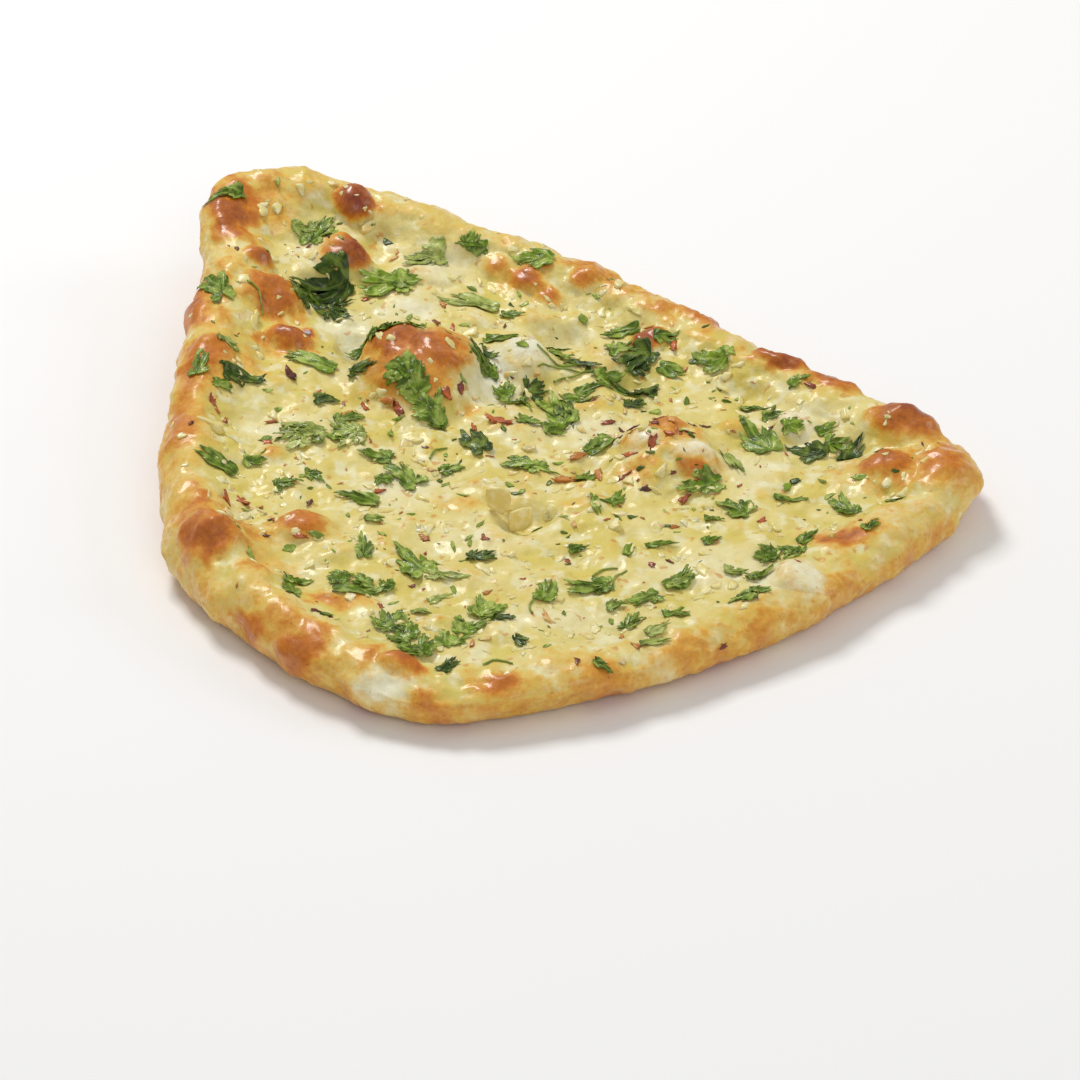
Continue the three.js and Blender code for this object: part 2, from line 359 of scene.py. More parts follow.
@dataclass(frozen=True)
class BakedDough:
    """Buttered, oven-baked dough, from white through gold to char; sizes in millimetres."""

    cream: Colour = paint(228, 212, 136)
    butter: Colour = paint(219, 200, 102)
    flour: Colour = paint(246, 243, 216)
    milk: Colour = paint(238, 232, 188)
    oil: Colour = paint(214, 200, 98)
    gold: Colour = paint(228, 180, 74)
    orange: Colour = paint(204, 120, 24)
    russet: Colour = paint(140, 54, 8)
    char: Colour = paint(42, 20, 14)
    herb: Colour = paint(166, 158, 62)
    cloud: float = 9.0
    mottle: float = 1.6
    butter_patch: float = 14.0
    milk_patch: float = 5.0
    oil_patch: float = 6.5
    stain_share: float = 0.6
    speck: float = 1.1
    dot: float = 3.2
    pore: float = 2.2
    crumb: float = 0.9
    wet_patch: float = 6.0

    def material(self) -> bpy.types.Material:
        """Build the finish from what the bread's mesh says of each place."""
        sketch = ShaderSketch("baked_dough")
        toast = sketch.attribute("toast")
        baked = self.baked(sketch, toast)
        dough = self.dough(sketch)
        crust = sketch.ramp(baked, [
            (0.0, self.gold), (0.24, self.gold), (0.47, self.orange), (0.74, self.russet), (1.0, self.char)])
        colour = sketch.blend(sketch.window(baked, 0.04, 0.34), dough, crust)
        stain = sketch.math("MULTIPLY", sketch.attribute("stain"), self.stain_share)
        colour = self.freckled(sketch, toast, sketch.blend(stain, colour, self.herb))
        pores = sketch.bump(sketch.cells(self.pore * MM), 0.4, 0.6 * MM)
        crumb = sketch.bump(sketch.noise(self.crumb * MM, 3.0, 0.65), 0.5, 0.4 * MM, pores)
        wet = sketch.window(sketch.noise(self.wet_patch * MM, 2.0), 0.35, 0.6)
        sketch.set(
            Base_Color=colour, Normal=crumb,
            Roughness=sketch.math("SUBTRACT", 0.6, sketch.math("MULTIPLY", wet, 0.16)),
            Coat_Weight=sketch.math(
                "MULTIPLY_ADD", toast, 0.5, clamp=True, third=sketch.math("MULTIPLY", wet, 0.45)),
            Coat_Roughness=0.18, Coat_IOR=1.45, Specular_IOR_Level=0.3,
            Subsurface_Weight=0.15, Subsurface_Scale=2 * MM, Subsurface_Radius=(1.0, 0.7, 0.4))
        return sketch.material

    def baked(self, sketch: ShaderSketch, toast: bpy.types.NodeSocket) -> bpy.types.NodeSocket:
        """Break up the mesh's bake with clouds and mottle.

        Args:
            sketch: The material.
            toast: The bake that the mesh gives.

        Returns:
            The uneven bake, 0 to 1.
        """
        broad = sketch.noise(self.cloud * MM, 3.0)
        fine = sketch.noise(self.mottle * MM, 3.0, 0.6)
        mottle = sketch.math("MULTIPLY", sketch.math("SUBTRACT", fine, 0.5), 0.3)
        patch = sketch.math("MULTIPLY", sketch.math("SUBTRACT", broad, 0.5), 0.3)
        return sketch.math("ADD", toast, sketch.math("ADD", mottle, patch), clamp=True)

    def dough(self, sketch: ShaderSketch) -> bpy.types.NodeSocket:
        """Colour the pale dough: cream and butter, with milky, oily and floury patches."""
        butter = sketch.window(sketch.noise(self.butter_patch * MM, 2.0), 0.42, 0.62)
        dough = sketch.blend(butter, self.cream, self.butter)
        milk = sketch.window(sketch.noise(self.milk_patch * MM, 2.0), 0.5, 0.68, 0.0, 0.75)
        dough = sketch.blend(milk, dough, self.milk)
        oil = sketch.window(sketch.noise(self.oil_patch * MM, 2.0), 0.53, 0.7, 0.0, 0.6)
        dough = sketch.blend(oil, dough, self.oil)
        return sketch.blend(sketch.attribute("pale"), dough, self.flour)

    def freckled(self, sketch: ShaderSketch, toast: bpy.types.NodeSocket,
                 colour: bpy.types.NodeSocket) -> bpy.types.NodeSocket:
        """Add orange dots on the pale dough and russet specks on the toasted crust.

        Args:
            sketch: The material.
            toast: The bake that the mesh gives.
            colour: The colour so far.

        Returns:
            The freckled colour.
        """
        speck = sketch.window(sketch.noise(self.speck * MM, 1.0), 0.70, 0.76)
        dots = sketch.math("MULTIPLY", sketch.window(sketch.noise(self.dot * MM, 1.0), 0.66, 0.74, 0.0, 0.55),
                           sketch.window(toast, 0.3, 0.1))
        colour = sketch.blend(dots, colour, self.orange)
        speckled = sketch.math("MULTIPLY", speck, sketch.window(toast, 0.1, 0.5, 0.05, 0.6))
        return sketch.blend(speckled, colour, self.russet)


class LeafTone(Enum):
    """How dark a piece of coriander has turned: its blade and vein colours."""

    DARK = ((60, 86, 8), (128, 146, 52))
    MID = ((104, 134, 22), (176, 192, 92))
    BRIGHT = ((124, 154, 30), (194, 208, 108))
    PALE = ((158, 174, 76), (206, 212, 132))


@dataclass(frozen=True)
class CorianderLeaf:
    """Wilted, buttered coriander; sizes in millimetres."""

    tone: LeafTone
    shadow: float = 0.5
    shade_patch: float = 2.6
    # Size of the light patches: partly paler leaf, partly painted highlight.
    pale_and_highlight_patch: float = 3.6
    crinkle: float = 0.8

    def material(self) -> bpy.types.Material:
        """Build the finish: lighter along the veins, darker in patches of painted shade, and lighter in
        patches that are partly paler leaf and partly painted highlight.
        """
        blade, vein = (paint(*colour) for colour in self.tone.value)
        sketch = ShaderSketch(f"coriander_{self.tone.name.lower()}")
        # Painted shade: noise patches darken the blade, standing in for shade in the leaf's folds.
        shade = sketch.window(sketch.noise(self.shade_patch * MM, 3.0, 0.6), 0.4, 0.6)
        dark = tuple(channel * self.shadow for channel in blade[:3]) + (1.0,)
        colour = sketch.blend(shade, dark, blade)
        # Light patches toward the vein colour: partly paler leaf, partly painted highlights of the leaf's
        # gloss.
        light = sketch.window(sketch.noise(self.pale_and_highlight_patch * MM, 3.0), 0.48, 0.66, 0.0, 0.7)
        colour = sketch.blend(light, colour, vein)
        colour = sketch.blend(sketch.math("MULTIPLY", sketch.attribute("vein"), 0.75), colour, vein)
        crinkle = sketch.bump(sketch.noise(self.crinkle * MM, 3.0), 0.6, 0.35 * MM)
        sketch.set(
            Base_Color=colour, Normal=crinkle, Roughness=0.45, Specular_IOR_Level=0.2,
            Coat_Weight=0.25, Coat_Roughness=0.1)
        return sketch.material


@dataclass(frozen=True)
class CookedGarlic:
    """Translucent cooked garlic, browned where the mesh says so."""

    flesh: Colour = paint(230, 212, 132)
    milky: Colour = paint(240, 228, 176)
    amber: Colour = paint(214, 142, 58)
    brown: Colour = paint(140, 62, 24)

    def material(self) -> bpy.types.Material:
        """Build the finish from flesh through amber to brown."""
        sketch = ShaderSketch("cooked_garlic")
        flesh = sketch.blend(sketch.window(sketch.noise(2.5 * MM, 2.0), 0.4, 0.65), self.flesh, self.milky)
        toast = sketch.math(
            "ADD", sketch.attribute("toast"),
            sketch.math("MULTIPLY", sketch.math("SUBTRACT", sketch.noise(1.2 * MM), 0.5), 0.3), clamp=True)
        crust = sketch.ramp(toast, [(0.0, self.amber), (0.5, self.amber), (0.95, self.brown)])
        colour = sketch.blend(sketch.window(toast, 0.25, 0.6), flesh, crust)
        grain = sketch.bump(sketch.noise(0.7 * MM, 2.0), 0.25, 0.2 * MM)
        sketch.set(
            Base_Color=colour, Normal=grain, Roughness=0.42, Coat_Weight=0.2, Coat_Roughness=0.12,
            Subsurface_Weight=0.4, Subsurface_Scale=1.6 * MM, Subsurface_Radius=(1.0, 0.8, 0.4))
        return sketch.material


@dataclass(frozen=True)
class BrownedFlake:
    """Scorched flakes of garlic and chilli skin, from red-brown to nearly black."""

    red: Colour = paint(200, 98, 34)
    brown: Colour = paint(134, 56, 22)
    black: Colour = paint(46, 26, 18)

    def material(self) -> bpy.types.Material:
        """Build the finish, mottled by noise and by each flake's own share of scorch."""
        sketch = ShaderSketch("browned_flake")
        burnt = sketch.math("ADD", sketch.attribute("toast"),
                            sketch.math("SUBTRACT", sketch.noise(1.4 * MM, 3.0), 0.5), clamp=True)
        colour = sketch.ramp(burnt, [(0.1, self.red), (0.55, self.brown), (0.95, self.black)])
        curl = sketch.bump(sketch.noise(0.6 * MM, 3.0), 0.4, 0.25 * MM)
        sketch.set(Base_Color=colour, Normal=curl, Roughness=0.4, Coat_Weight=0.4, Coat_Roughness=0.15)
        return sketch.material


@dataclass(frozen=True)
class PaleFloor:
    """A matt, nearly white studio floor."""

    tint: Colour = (0.94, 0.94, 0.94, 1.0)

    def material(self) -> bpy.types.Material:
        """Build the finish with the faintest mottle."""
        sketch = ShaderSketch("pale_floor")
        shade = tuple(channel * 0.985 for channel in self.tint[:3]) + (1.0,)
        sketch.set(Base_Color=sketch.blend(sketch.noise(0.4, 2.0), self.tint, shade), Roughness=0.75)
        return sketch.material


# --------------------------------------------------------------------------------------------------
# The bread
# --------------------------------------------------------------------------------------------------
@dataclass(frozen=True)
class Blister:
    """A small bubble in the crust; all lengths in millimetres, the height positive outwards."""

    x: float
    y: float
    along_x: float
    along_y: float
    height: float
    toast: float = 0.0
    heading: float = 0.0


@dataclass(frozen=True)
class Spot:
    """A patch of colour on the crust; all lengths in millimetres."""

    x: float
    y: float
    along_x: float
    along_y: float
    strength: float
    heading: float = 0.0


class Draw(Enum):
    """Which draw of the noise each layer of the crust takes, so that no two line up."""

    CLOUD = 3.0
    DRIFT = 9.0
    LUMPS = 11.0
    TOAST = 23.0
    CHAR = 31.0
    PALE = 41.0
    STAIN = 57.0
    PEBBLES = 71.0


BLISTERS = (
    Blister(-66, 109, 6.5, 6, 4, 0.76), Blister(-67, 88, 8, 7.5, 2.5, 0.74),
    Blister(-94, 79, 5.5, 5, 2.5, 0.5), Blister(-84, 49, 8, 4.5, 3.2, 0.6, -25),
    Blister(-86, -8, 5, 5, 1.2, 0.2), Blister(24, 55, 6, 5, 2.5, 0.7),
    Blister(62, 37, 10, 4, 2, 0.66, -30), Blister(77, 25, 10, 4, 2.2, 0.5, -25),
    Blister(97, -1, 16, 7, 2.5, 0.46, -35), Blister(-46, -110, 6, 4, 1.8, 0.6),
    Blister(-22, 89, 6, 4, 2, 0.42, -30), Blister(-13, 83, 6, 4, 2, 0.5, -30),
    Blister(-6, 77, 6, 4, 1.8, 0.45, -40), Blister(66, 7, 7, 6, 1.6), Blister(48, 8, 6, 4, 1.6),
    Blister(100, -20, 17, 12, 3.2, 0.3, -15), Blister(-101, -59, 11, 9, 1.4, 0.3),
    Blister(-74, -45, 9, 6, 1.5, 0.24), Blister(-54, 44, 9, 7, 2.6, 0.3),
    Blister(-35, 38, 12, 11, 3.2, 0.25), Blister(-44, 21, 15, 13, 3.2, 0.25), Blister(20, -6, 7, 6, 2.0),
    Blister(35, -14, 7, 6, 1.8), Blister(28, 3, 6, 5, 1.6, 0.3), Blister(5, 82, 6, 5, 1.8, 0.3),
    Blister(14, 76, 6, 5, 1.6, 0.2), Blister(38, 64, 8, 5, 1.8, 0.25, -40),
    Blister(-112, 57, 6, 9, 1.6, 0.4), Blister(-30, -30, 6, 4, 1.0, 0.2), Blister(60, -71, 9, 6, 1.4),
    Blister(-90, 102, 9, 8, 2.0, 0.35), Blister(-90, 67, 10, 9, 2.8, 0.46),
    Blister(-104, 30, 7, 9, 1.4, 0.3), Blister(-72, 92, 6, 5, 1.4), Blister(-40, 86, 8, 6, 1.8),
    Blister(-28, 66, 8, 5, 1.6, 0.0, -20), Blister(-64, 48, 7, 12, -3.0), Blister(-74, 74, 9, 9, -3.0),
    Blister(-2, 60, 12, 7, -2.6, 0.0, -15), Blister(-22, 24, 8, 6, -2.2), Blister(2, 26, 9, 7, -2.2),
    Blister(17, 36, 9, 8, -2.0), Blister(-24, 60, 7, 5, -1.6), Blister(50, 26, 12, 6, -1.8, 0.0, -30),
    Blister(80, -4, 7, 8, -2.2), Blister(-10, -36, 8, 6.5, -2.6), Blister(5, -14, 7, 8, -1.6),
    Blister(-88, 34, 6, 9, -1.4), Blister(-62, -62, 10, 6, -1.4), Blister(30, -74, 12, 5, -1.2),
)
TOAST_SPOTS = (
    Spot(-101, 97, 12, 20, 0.55), Spot(-88, 62, 13, 13, 0.5), Spot(-85, 47, 12, 9, 0.55),
    Spot(-96, 32, 10, 12, 0.3), Spot(90, -18, 18, 13, 0.4), Spot(96, 0, 18, 9, 0.3, -30),
    Spot(-84, -62, 18, 12, 0.32, -45), Spot(-92, -48, 17, 13, 0.4), Spot(-44, 30, 17, 15, 0.42),
    Spot(24, -2, 17, 13, 0.3), Spot(10, 84, 20, 8, 0.3, -35), Spot(42, 62, 18, 8, 0.34, -35),
    Spot(-50, 39, 18, 10.8, 0.55, 20), Spot(-56, 29, 9.6, 9.6, 0.41), Spot(-36, 37, 10.8, 8.4, 0.37),
    Spot(-43, 23, 9.6, 6, 0.28), Spot(20, 1, 12, 7.2, 0.32), Spot(36, -17, 9.6, 6, 0.37),
    Spot(18, -19, 9.6, 6, 0.32), Spot(-87, 65, 12, 9.6, 0.41), Spot(-100, 100, 9.6, 16.8, 0.51),
    Spot(-92, 109, 10.8, 7.2, 0.32), Spot(-110, 57, 10.8, 19.2, 0.39), Spot(-108, 25, 9.6, 16.8, 0.35),
    Spot(-112, -3, 8.4, 19.2, 0.28), Spot(-101, -59, 14.4, 10.8, 0.46), Spot(-104, -43, 10.8, 10.8, 0.32),
    Spot(-74, -46, 14, 9, 0.3), Spot(-66, -80, 13.2, 6, 0.46, -10), Spot(-72, -97, 16.8, 8.4, 0.24, -45),
    Spot(-87, -90, 12, 10.8, 0.37), Spot(-74, -103, 12, 10.8, 0.36), Spot(-46, -112, 9.6, 7.2, 0.48),
    Spot(-40, -123, 10, 6, 0.27), Spot(-20, -117, 12, 6, 0.34), Spot(8, -113, 14.4, 7.2, 0.24),
    Spot(28, -103, 16.8, 8.4, 0.2, 30), Spot(52, -89, 14.4, 8.4, 0.2, 35), Spot(75, -51, 11, 9, 0.62),
    Spot(74, -70, 10.8, 9.6, 0.24), Spot(90, -20, 15.6, 12, 0.39), Spot(98, 3, 13, 5.5, 0.66, -20),
    Spot(107, -13, 10.8, 10.8, 0.32), Spot(62, 37, 10.8, 6, 0.64, -30), Spot(77, 25, 10.8, 6, 0.46, -20),
    Spot(24, 55, 7.2, 6, 0.64), Spot(-14, 83, 19.2, 7.2, 0.39, -30), Spot(30, 63, 12, 7.2, 0.28, -45),
    Spot(-34, -31, 6, 4.8, 0.28), Spot(-29, 17, 6, 4.8, 0.37), Spot(-66, 109, 8.4, 7.2, 0.7),
    Spot(-67, 89, 9.6, 8.4, 0.7),
)
CHAR_SPOTS = (Spot(-79, 51, 2.4, 2.2, 1.0), Spot(-62, 112, 2.0, 1.6, 0.9), Spot(25, 57, 1.8, 1.2, 0.9))
PALE_SPOTS = (
    Spot(-25, 36, 11, 16, 1.0), Spot(-12, 43, 9, 11, 1.0), Spot(21, -8, 7, 5, 0.9),
    Spot(34, -12, 7, 5, 0.9), Spot(-50, -117, 9, 10, 0.9), Spot(66, 8, 9, 8, 0.8),
    Spot(60, -71, 14, 8, 0.7), Spot(-66, 55, 9, 12, 0.7), Spot(-40, 87, 12, 8, 0.6),
    Spot(-46, 68, 12, 8, 0.7), Spot(-75, 92, 8, 8, 0.6), Spot(-84, 5, 14, 10, 0.5),
    Spot(-50, -23, 16, 12, 0.45), Spot(40, -63, 22, 12, 0.4), Spot(0, -88, 26, 10, 0.4),
    Spot(-30, -48, 18, 10, 0.35), Spot(5, 7, 16, 12, 0.5), Spot(50, -13, 14, 14, 0.4),
    Spot(0, 63, 14, 8, 0.3), Spot(26, -107, 8, 6, 0.5),
)
STAIN_SPOTS = (
    Spot(-66, 45, 7, 14, 0.4), Spot(-8, 25, 9, 10, 0.6), Spot(18, 37, 12, 12, 0.6),
    Spot(-74, 77, 11, 10, 0.6), Spot(58, 1, 10, 8, 0.35), Spot(-57, 27, 6, 8, 0.4),
)


@dataclass
class Bread:
    """The baked bread, smoothed from its plain solid and blistered."""

    node: str = BREAD_NODE
    weld: float = 1e-6
    subdivisions: int = 2
    smoothing_passes: int = 3
    topside: tuple[float, float] = (-0.8, -0.4)
    reach_down: float = 12.0
    undulations: tuple[tuple[float, float], ...] = ((18.0, 2.1), (9.0, 1.35), (4.6, 0.8), (2.7, 0.36))
    pebbles: float = 0.35
    pebble_size: float = 3.4
    underside_share: float = 0.35
    dome_power: float = 0.8
    hollow_power: float = 2.0
    moat_place: float = 1.12
    moat_width: float = 0.16
    moat_depth: float = 0.14
    cap_share: float = 0.7
    halo_share: float = 0.3
    halo_fall: float = 0.9
    fray: tuple[tuple[float, float], ...] = ((6.0, 0.5), (2.6, 0.3))
    patch_edge: tuple[float, float] = (0.05, 1.3)
    rim_bake: tuple[float, float, float] = (0.09, 0.15, 0.1)
    base_bake: tuple[float, float, float] = (0.26, 0.34, 0.22)
    bake_limits: tuple[float, float] = (0.03, 0.85)
    cloud_size: float = 16.0
    drift_size: float = 6.0
    neighbourhood: int = 90
    ridge: tuple[float, float] = (0.2, 1.5)
    ridge_warmth: float = 0.16
    warmth_stops: tuple[float, float] = (0.4, 0.7)
    hollow_paleness: float = 0.06
    pale_keeps: float = 0.8

    def build(self) -> bpy.types.Object:
        """Make the bread's mesh, its relief and its bake map.

        Returns:
            The finished bread, tied to its body.
        """
        piece = self.smoothed()
        mesh = piece.data
        places, normals = corners_of(mesh), normals_of(mesh)
        tree = BVHTree.FromObject(piece, bpy.context.evaluated_depsgraph_get())
        topside = smoothstep(*self.topside, normals[:, 2])
        lift = np.zeros(len(places))
        toast = self.oven_bake(places, normals)
        for blister in BLISTERS:
            reach = self.reach(places, tree, blister, blister.along_x, blister.along_y)
            power = self.dome_power if blister.height > 0 else self.hollow_power
            dome = np.clip(1 - reach ** 2, 0, 1) ** power
            moat = np.exp(-(((reach - self.moat_place) / self.moat_width) ** 2))
            lift += (blister.height * dome - self.moat_depth * blister.height * moat) * topside
            halo = np.exp(-self.halo_fall * reach ** 2)
            cap = self.cap_share * dome + self.halo_share * halo
            toast = np.maximum(toast, blister.toast * cap * topside)
        lift += self.undulation(places, topside)
        pale = self.paint_map(places, tree, PALE_SPOTS, topside, Draw.PALE)
        stain = self.paint_map(places, tree, STAIN_SPOTS, topside, Draw.STAIN)
        toast = np.maximum(toast, self.paint_map(places, tree, TOAST_SPOTS, topside, Draw.TOAST))
        toast = np.maximum(toast, self.paint_map(places, tree, CHAR_SPOTS, topside, Draw.CHAR))
        moved = places + normals * (lift * MM)[:, None]
        moved[:, 2] = np.maximum(moved[:, 2], 0.0)
        proud = self.relief(mesh, moved, normals)
        warmth = self.ridge_warmth * smoothstep(*self.ridge, proud)
        warmth *= 1 - smoothstep(*self.warmth_stops, toast)
        toast += (warmth - self.hollow_paleness * smoothstep(*self.ridge, -proud)) * topside
        mesh.vertices.foreach_set("co", moved.ravel())
        mesh.update()
        store(piece, "toast", toast * (1 - self.pale_keeps * pale))
        store(piece, "pale", pale)
        store(piece, "stain", stain)
        return settle(piece, Slot.CRUST, self.node)

    def smoothed(self) -> bpy.types.Object:
        """Return a finely divided, smooth copy of the plain solid."""
        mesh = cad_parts[self.node].data.copy()
        mesh.name = "bread"
        edit = bmesh.new()
        edit.from_mesh(mesh)
        bmesh.ops.remove_doubles(edit, verts=edit.verts, dist=self.weld)
        edit.to_mesh(mesh)
        edit.free()
        piece = bpy.data.objects.new("bread", mesh)
        bpy.context.scene.collection.objects.link(piece)
        divide = piece.modifiers.new("divide", "SUBSURF")
        divide.levels = divide.render_levels = self.subdivisions
        relax = piece.modifiers.new("relax", "SMOOTH")
        relax.iterations = self.smoothing_passes
        made = bpy.data.meshes.new_from_object(piece.evaluated_get(bpy.context.evaluated_depsgraph_get()))
        piece.modifiers.clear()
        piece.data = made
        made.name = "bread"
        made.polygons.foreach_set("use_smooth", np.ones(len(made.polygons), bool))
        made.materials.clear()
        made.materials.append(BakedDough().material())
        return piece

    def reach(self, places: np.ndarray, tree: BVHTree, spot: Blister | Spot, along_x: float,
              along_y: float) -> np.ndarray:
        """Measure how far each place is from a spot's middle, as a share of the spot's size.

        Args:
            places: Corner places in metres.
            tree: The bread's skin.
            spot: The spot.
            along_x: Its radius along its own X, in millimetres.
            along_y: Its radius along its own Y, in millimetres.

        Returns:
            0 at the middle, 1 at the spot's edge.
        """
        hit = tree.ray_cast(Vector((spot.x * MM, spot.y * MM, DROP_FROM)), Vector((0, 0, -1)))[0]
        if hit is None:
            hit = tree.find_nearest(Vector((spot.x * MM, spot.y * MM, MIDDLE_HEIGHT)))[0]
        turn = math.radians(spot.heading)
        away = (places - np.array(hit)) / MM
        across = away[:, 0] * math.cos(turn) + away[:, 1] * math.sin(turn)
        ahead = away[:, 1] * math.cos(turn) - away[:, 0] * math.sin(turn)
        down = away[:, 2] / max(self.reach_down, along_x, along_y)
        return np.sqrt((across / along_x) ** 2 + (ahead / along_y) ** 2 + down ** 2)

    def paint_map(self, places: np.ndarray, tree: BVHTree, spots: tuple[Spot, ...], topside: np.ndarray,
                  draw: Draw) -> np.ndarray:
        """Lay soft, ragged patches over the crust.

        Args:
            places: Corner places in metres.
            tree: The bread's skin.
            spots: The patches.
            topside: 1 where the crust faces up or sideways.
            draw: The draw of the noise that frays the patches.

        Returns:
            The strength of the patches at each place.
        """
        fray = sum(share * noise_at(places, size * MM, draw.value) for size, share in self.fray)
        total = np.zeros(len(places))
        for spot in spots:
            reach = self.reach(places, tree, spot, spot.along_x, spot.along_y) + fray
            total = np.maximum(total, spot.strength * (1 - smoothstep(*self.patch_edge, reach)))
        return total * topside

    def oven_bake(self, places: np.ndarray, normals: np.ndarray) -> np.ndarray:
        """Colour the crust as the oven's walls and floor do.

        Args:
            places: Corner places in metres.
            normals: Corner normals.

        Returns:
            The bake at each place, 0 raw to 1 char.
        """
        cloud = noise_at(places, self.cloud_size * MM, Draw.CLOUD.value)
        drift = noise_at(places, self.drift_size * MM, Draw.DRIFT.value)
        sideways = smoothstep(0.15, 0.75, 1 - np.abs(normals[:, 2]))
        under = smoothstep(0.3, 0.8, -normals[:, 2])
        even, cloudy, drifting = self.rim_bake
        rim = sideways * (even + cloudy * cloud + drifting * drift)
        even, cloudy, drifting = self.base_bake
        base = under * (even + cloudy * np.maximum(cloud, 0) + drifting * np.maximum(drift, 0))
        least, most = self.bake_limits
        return np.clip(least + rim + base, 0, most)

    def relief(self, mesh: bpy.types.Mesh, places: np.ndarray, normals: np.ndarray) -> np.ndarray:
        """Measure how far each place stands proud of the crust round it, in millimetres.

        Args:
            mesh: The mesh, for its edges.
            places: Corner places in metres.
            normals: Corner normals.

        Returns:
            The height above the neighbourhood, negative in a hollow.
        """
        ends = np.zeros(len(mesh.edges) * 2, int)
        mesh.edges.foreach_get("vertices", ends)
        start, end = np.concatenate([ends[::2], ends[1::2]]), np.concatenate([ends[1::2], ends[::2]])
        degree = np.bincount(start, minlength=len(places))
        calm = places.copy()
        for _ in range(self.neighbourhood):
            calm = np.stack([
                np.bincount(start, weights=calm[end, axis], minlength=len(places)) / degree
                for axis in range(3)
            ], axis=1)
        return ((places - calm) * normals).sum(1) / MM

    def undulation(self, places: np.ndarray, topside: np.ndarray) -> np.ndarray:
        """Give the crust its soft lumps and fine pebbling, in millimetres.

        Args:
            places: Corner places in metres.
            topside: 1 where the crust faces up or sideways.

        Returns:
            The lift at each place.
        """
        total = np.zeros(len(places))
        for index, (size, height) in enumerate(self.undulations):
            total += height * noise_at(places, size * MM, Draw.LUMPS.value + 7 * index)
        pebble = 1 - np.abs(noise_at(places, self.pebble_size * MM, Draw.PEBBLES.value)) * 2
        total += self.pebbles * np.clip(pebble, 0, 1) * topside
        return total * (self.underside_share + (1 - self.underside_share) * topside)


@dataclass
class Skin:
    """The bread's finished surface, which the toppings lie on."""

    bread: bpy.types.Object
    tree: BVHTree = field(init=False)
    radii: np.ndarray = field(init=False)
    sectors: int = 180

    def __post_init__(self) -> None:
        """Index the surface and measure the outline in every direction."""
        self.tree = BVHTree.FromObject(self.bread, bpy.context.evaluated_depsgraph_get())
        places = corners_of(self.bread.data)
        angle = np.arctan2(places[:, 1], places[:, 0])
        sector = ((angle + math.pi) / (2 * math.pi) * self.sectors).astype(int) % self.sectors
        self.radii = np.zeros(self.sectors)
        np.maximum.at(self.radii, sector, np.hypot(places[:, 0], places[:, 1]))

    def drop(self, x: float, y: float) -> tuple[Vector, Vector]:
        """Find the skin under a point.

        Args:
            x: Metres along X.
            y: Metres along Y.

        Returns:
            The place on the skin and its normal.
        """
        hit, normal, _, _ = self.tree.ray_cast(Vector((x, y, DROP_FROM)), Vector((0, 0, -1)))
        if hit is None:
            hit, normal, _, _ = self.tree.find_nearest(Vector((x, y, MIDDLE_HEIGHT)))
        return hit, normal

    def from_side(self, x: float, y: float) -> float:
        """Return roughly how far in from the outline a point is, in metres."""
        angle = math.atan2(y, x)
        sector = int((angle + math.pi) / (2 * math.pi) * self.sectors) % self.sectors
        return float(self.radii[sector] - math.hypot(x, y))


# --------------------------------------------------------------------------------------------------
# Toppings
# --------------------------------------------------------------------------------------------------
@dataclass(frozen=True)
class Footprint:
    """Where a piece lies and how large it is, seen from above, in metres and radians."""

    x: float
    y: float
    length: float
    width: float
    heading: float

    @staticmethod
    def of(node: str) -> "Footprint":
        """Measure a plain node.

        Args:
            node: The node's name.

        Returns:
            Its footprint.
        """
        flat = corners_of(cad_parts[node].data)[:, :2]
        flat = np.unique(np.round(flat, 7), axis=0)
        middle = (flat.min(0) + flat.max(0)) / 2
        _, axes = np.linalg.eigh(np.cov((flat - flat.mean(0)).T))
        along = axes[:, 1]
        width, length = np.ptp((flat - middle) @ axes, axis=0)
        return Footprint(*middle, length, width, math.atan2(along[1], along[0]))

    @staticmethod
    def drawn(x: float, y: float, length: float, width: float, heading: float = 0.0) -> "Footprint":
        """Make a footprint from millimetres and degrees."""
        return Footprint(x * MM, y * MM, length * MM, width * MM, math.radians(heading))

    def spin(self) -> np.ndarray:
        """Return the matrix that turns flat row vectors to the heading."""
        cosine, sine = math.cos(self.heading), math.sin(self.heading)
        return np.array([[cosine, sine], [-sine, cosine]])


@dataclass
class Sheet:
    """A mesh in the making: points, faces, and how near a vein and the edge each point is."""

    points: np.ndarray
    faces: list
    vein: np.ndarray
    edge: np.ndarray

    @staticmethod
    def joined(sheets: list["Sheet"]) -> "Sheet":
        """Join several sheets into one.

        Args:
            sheets: The sheets.

        Returns:
            One sheet that holds them all.
        """
        faces: list = []
        offset = 0
        for sheet in sheets:
            faces += [tuple(corner + offset for corner in face) for face in sheet.faces]
            offset += len(sheet.points)
        return Sheet(
            np.concatenate([sheet.points for sheet in sheets]), faces,
            np.concatenate([sheet.vein for sheet in sheets]),
            np.concatenate([sheet.edge for sheet in sheets]))


class Habit(Enum):
    """The shapes that coriander is picked or chopped into."""

    LEAFLET = "leaf"
    FROND = "frond"
    SLIVER = "sliver"


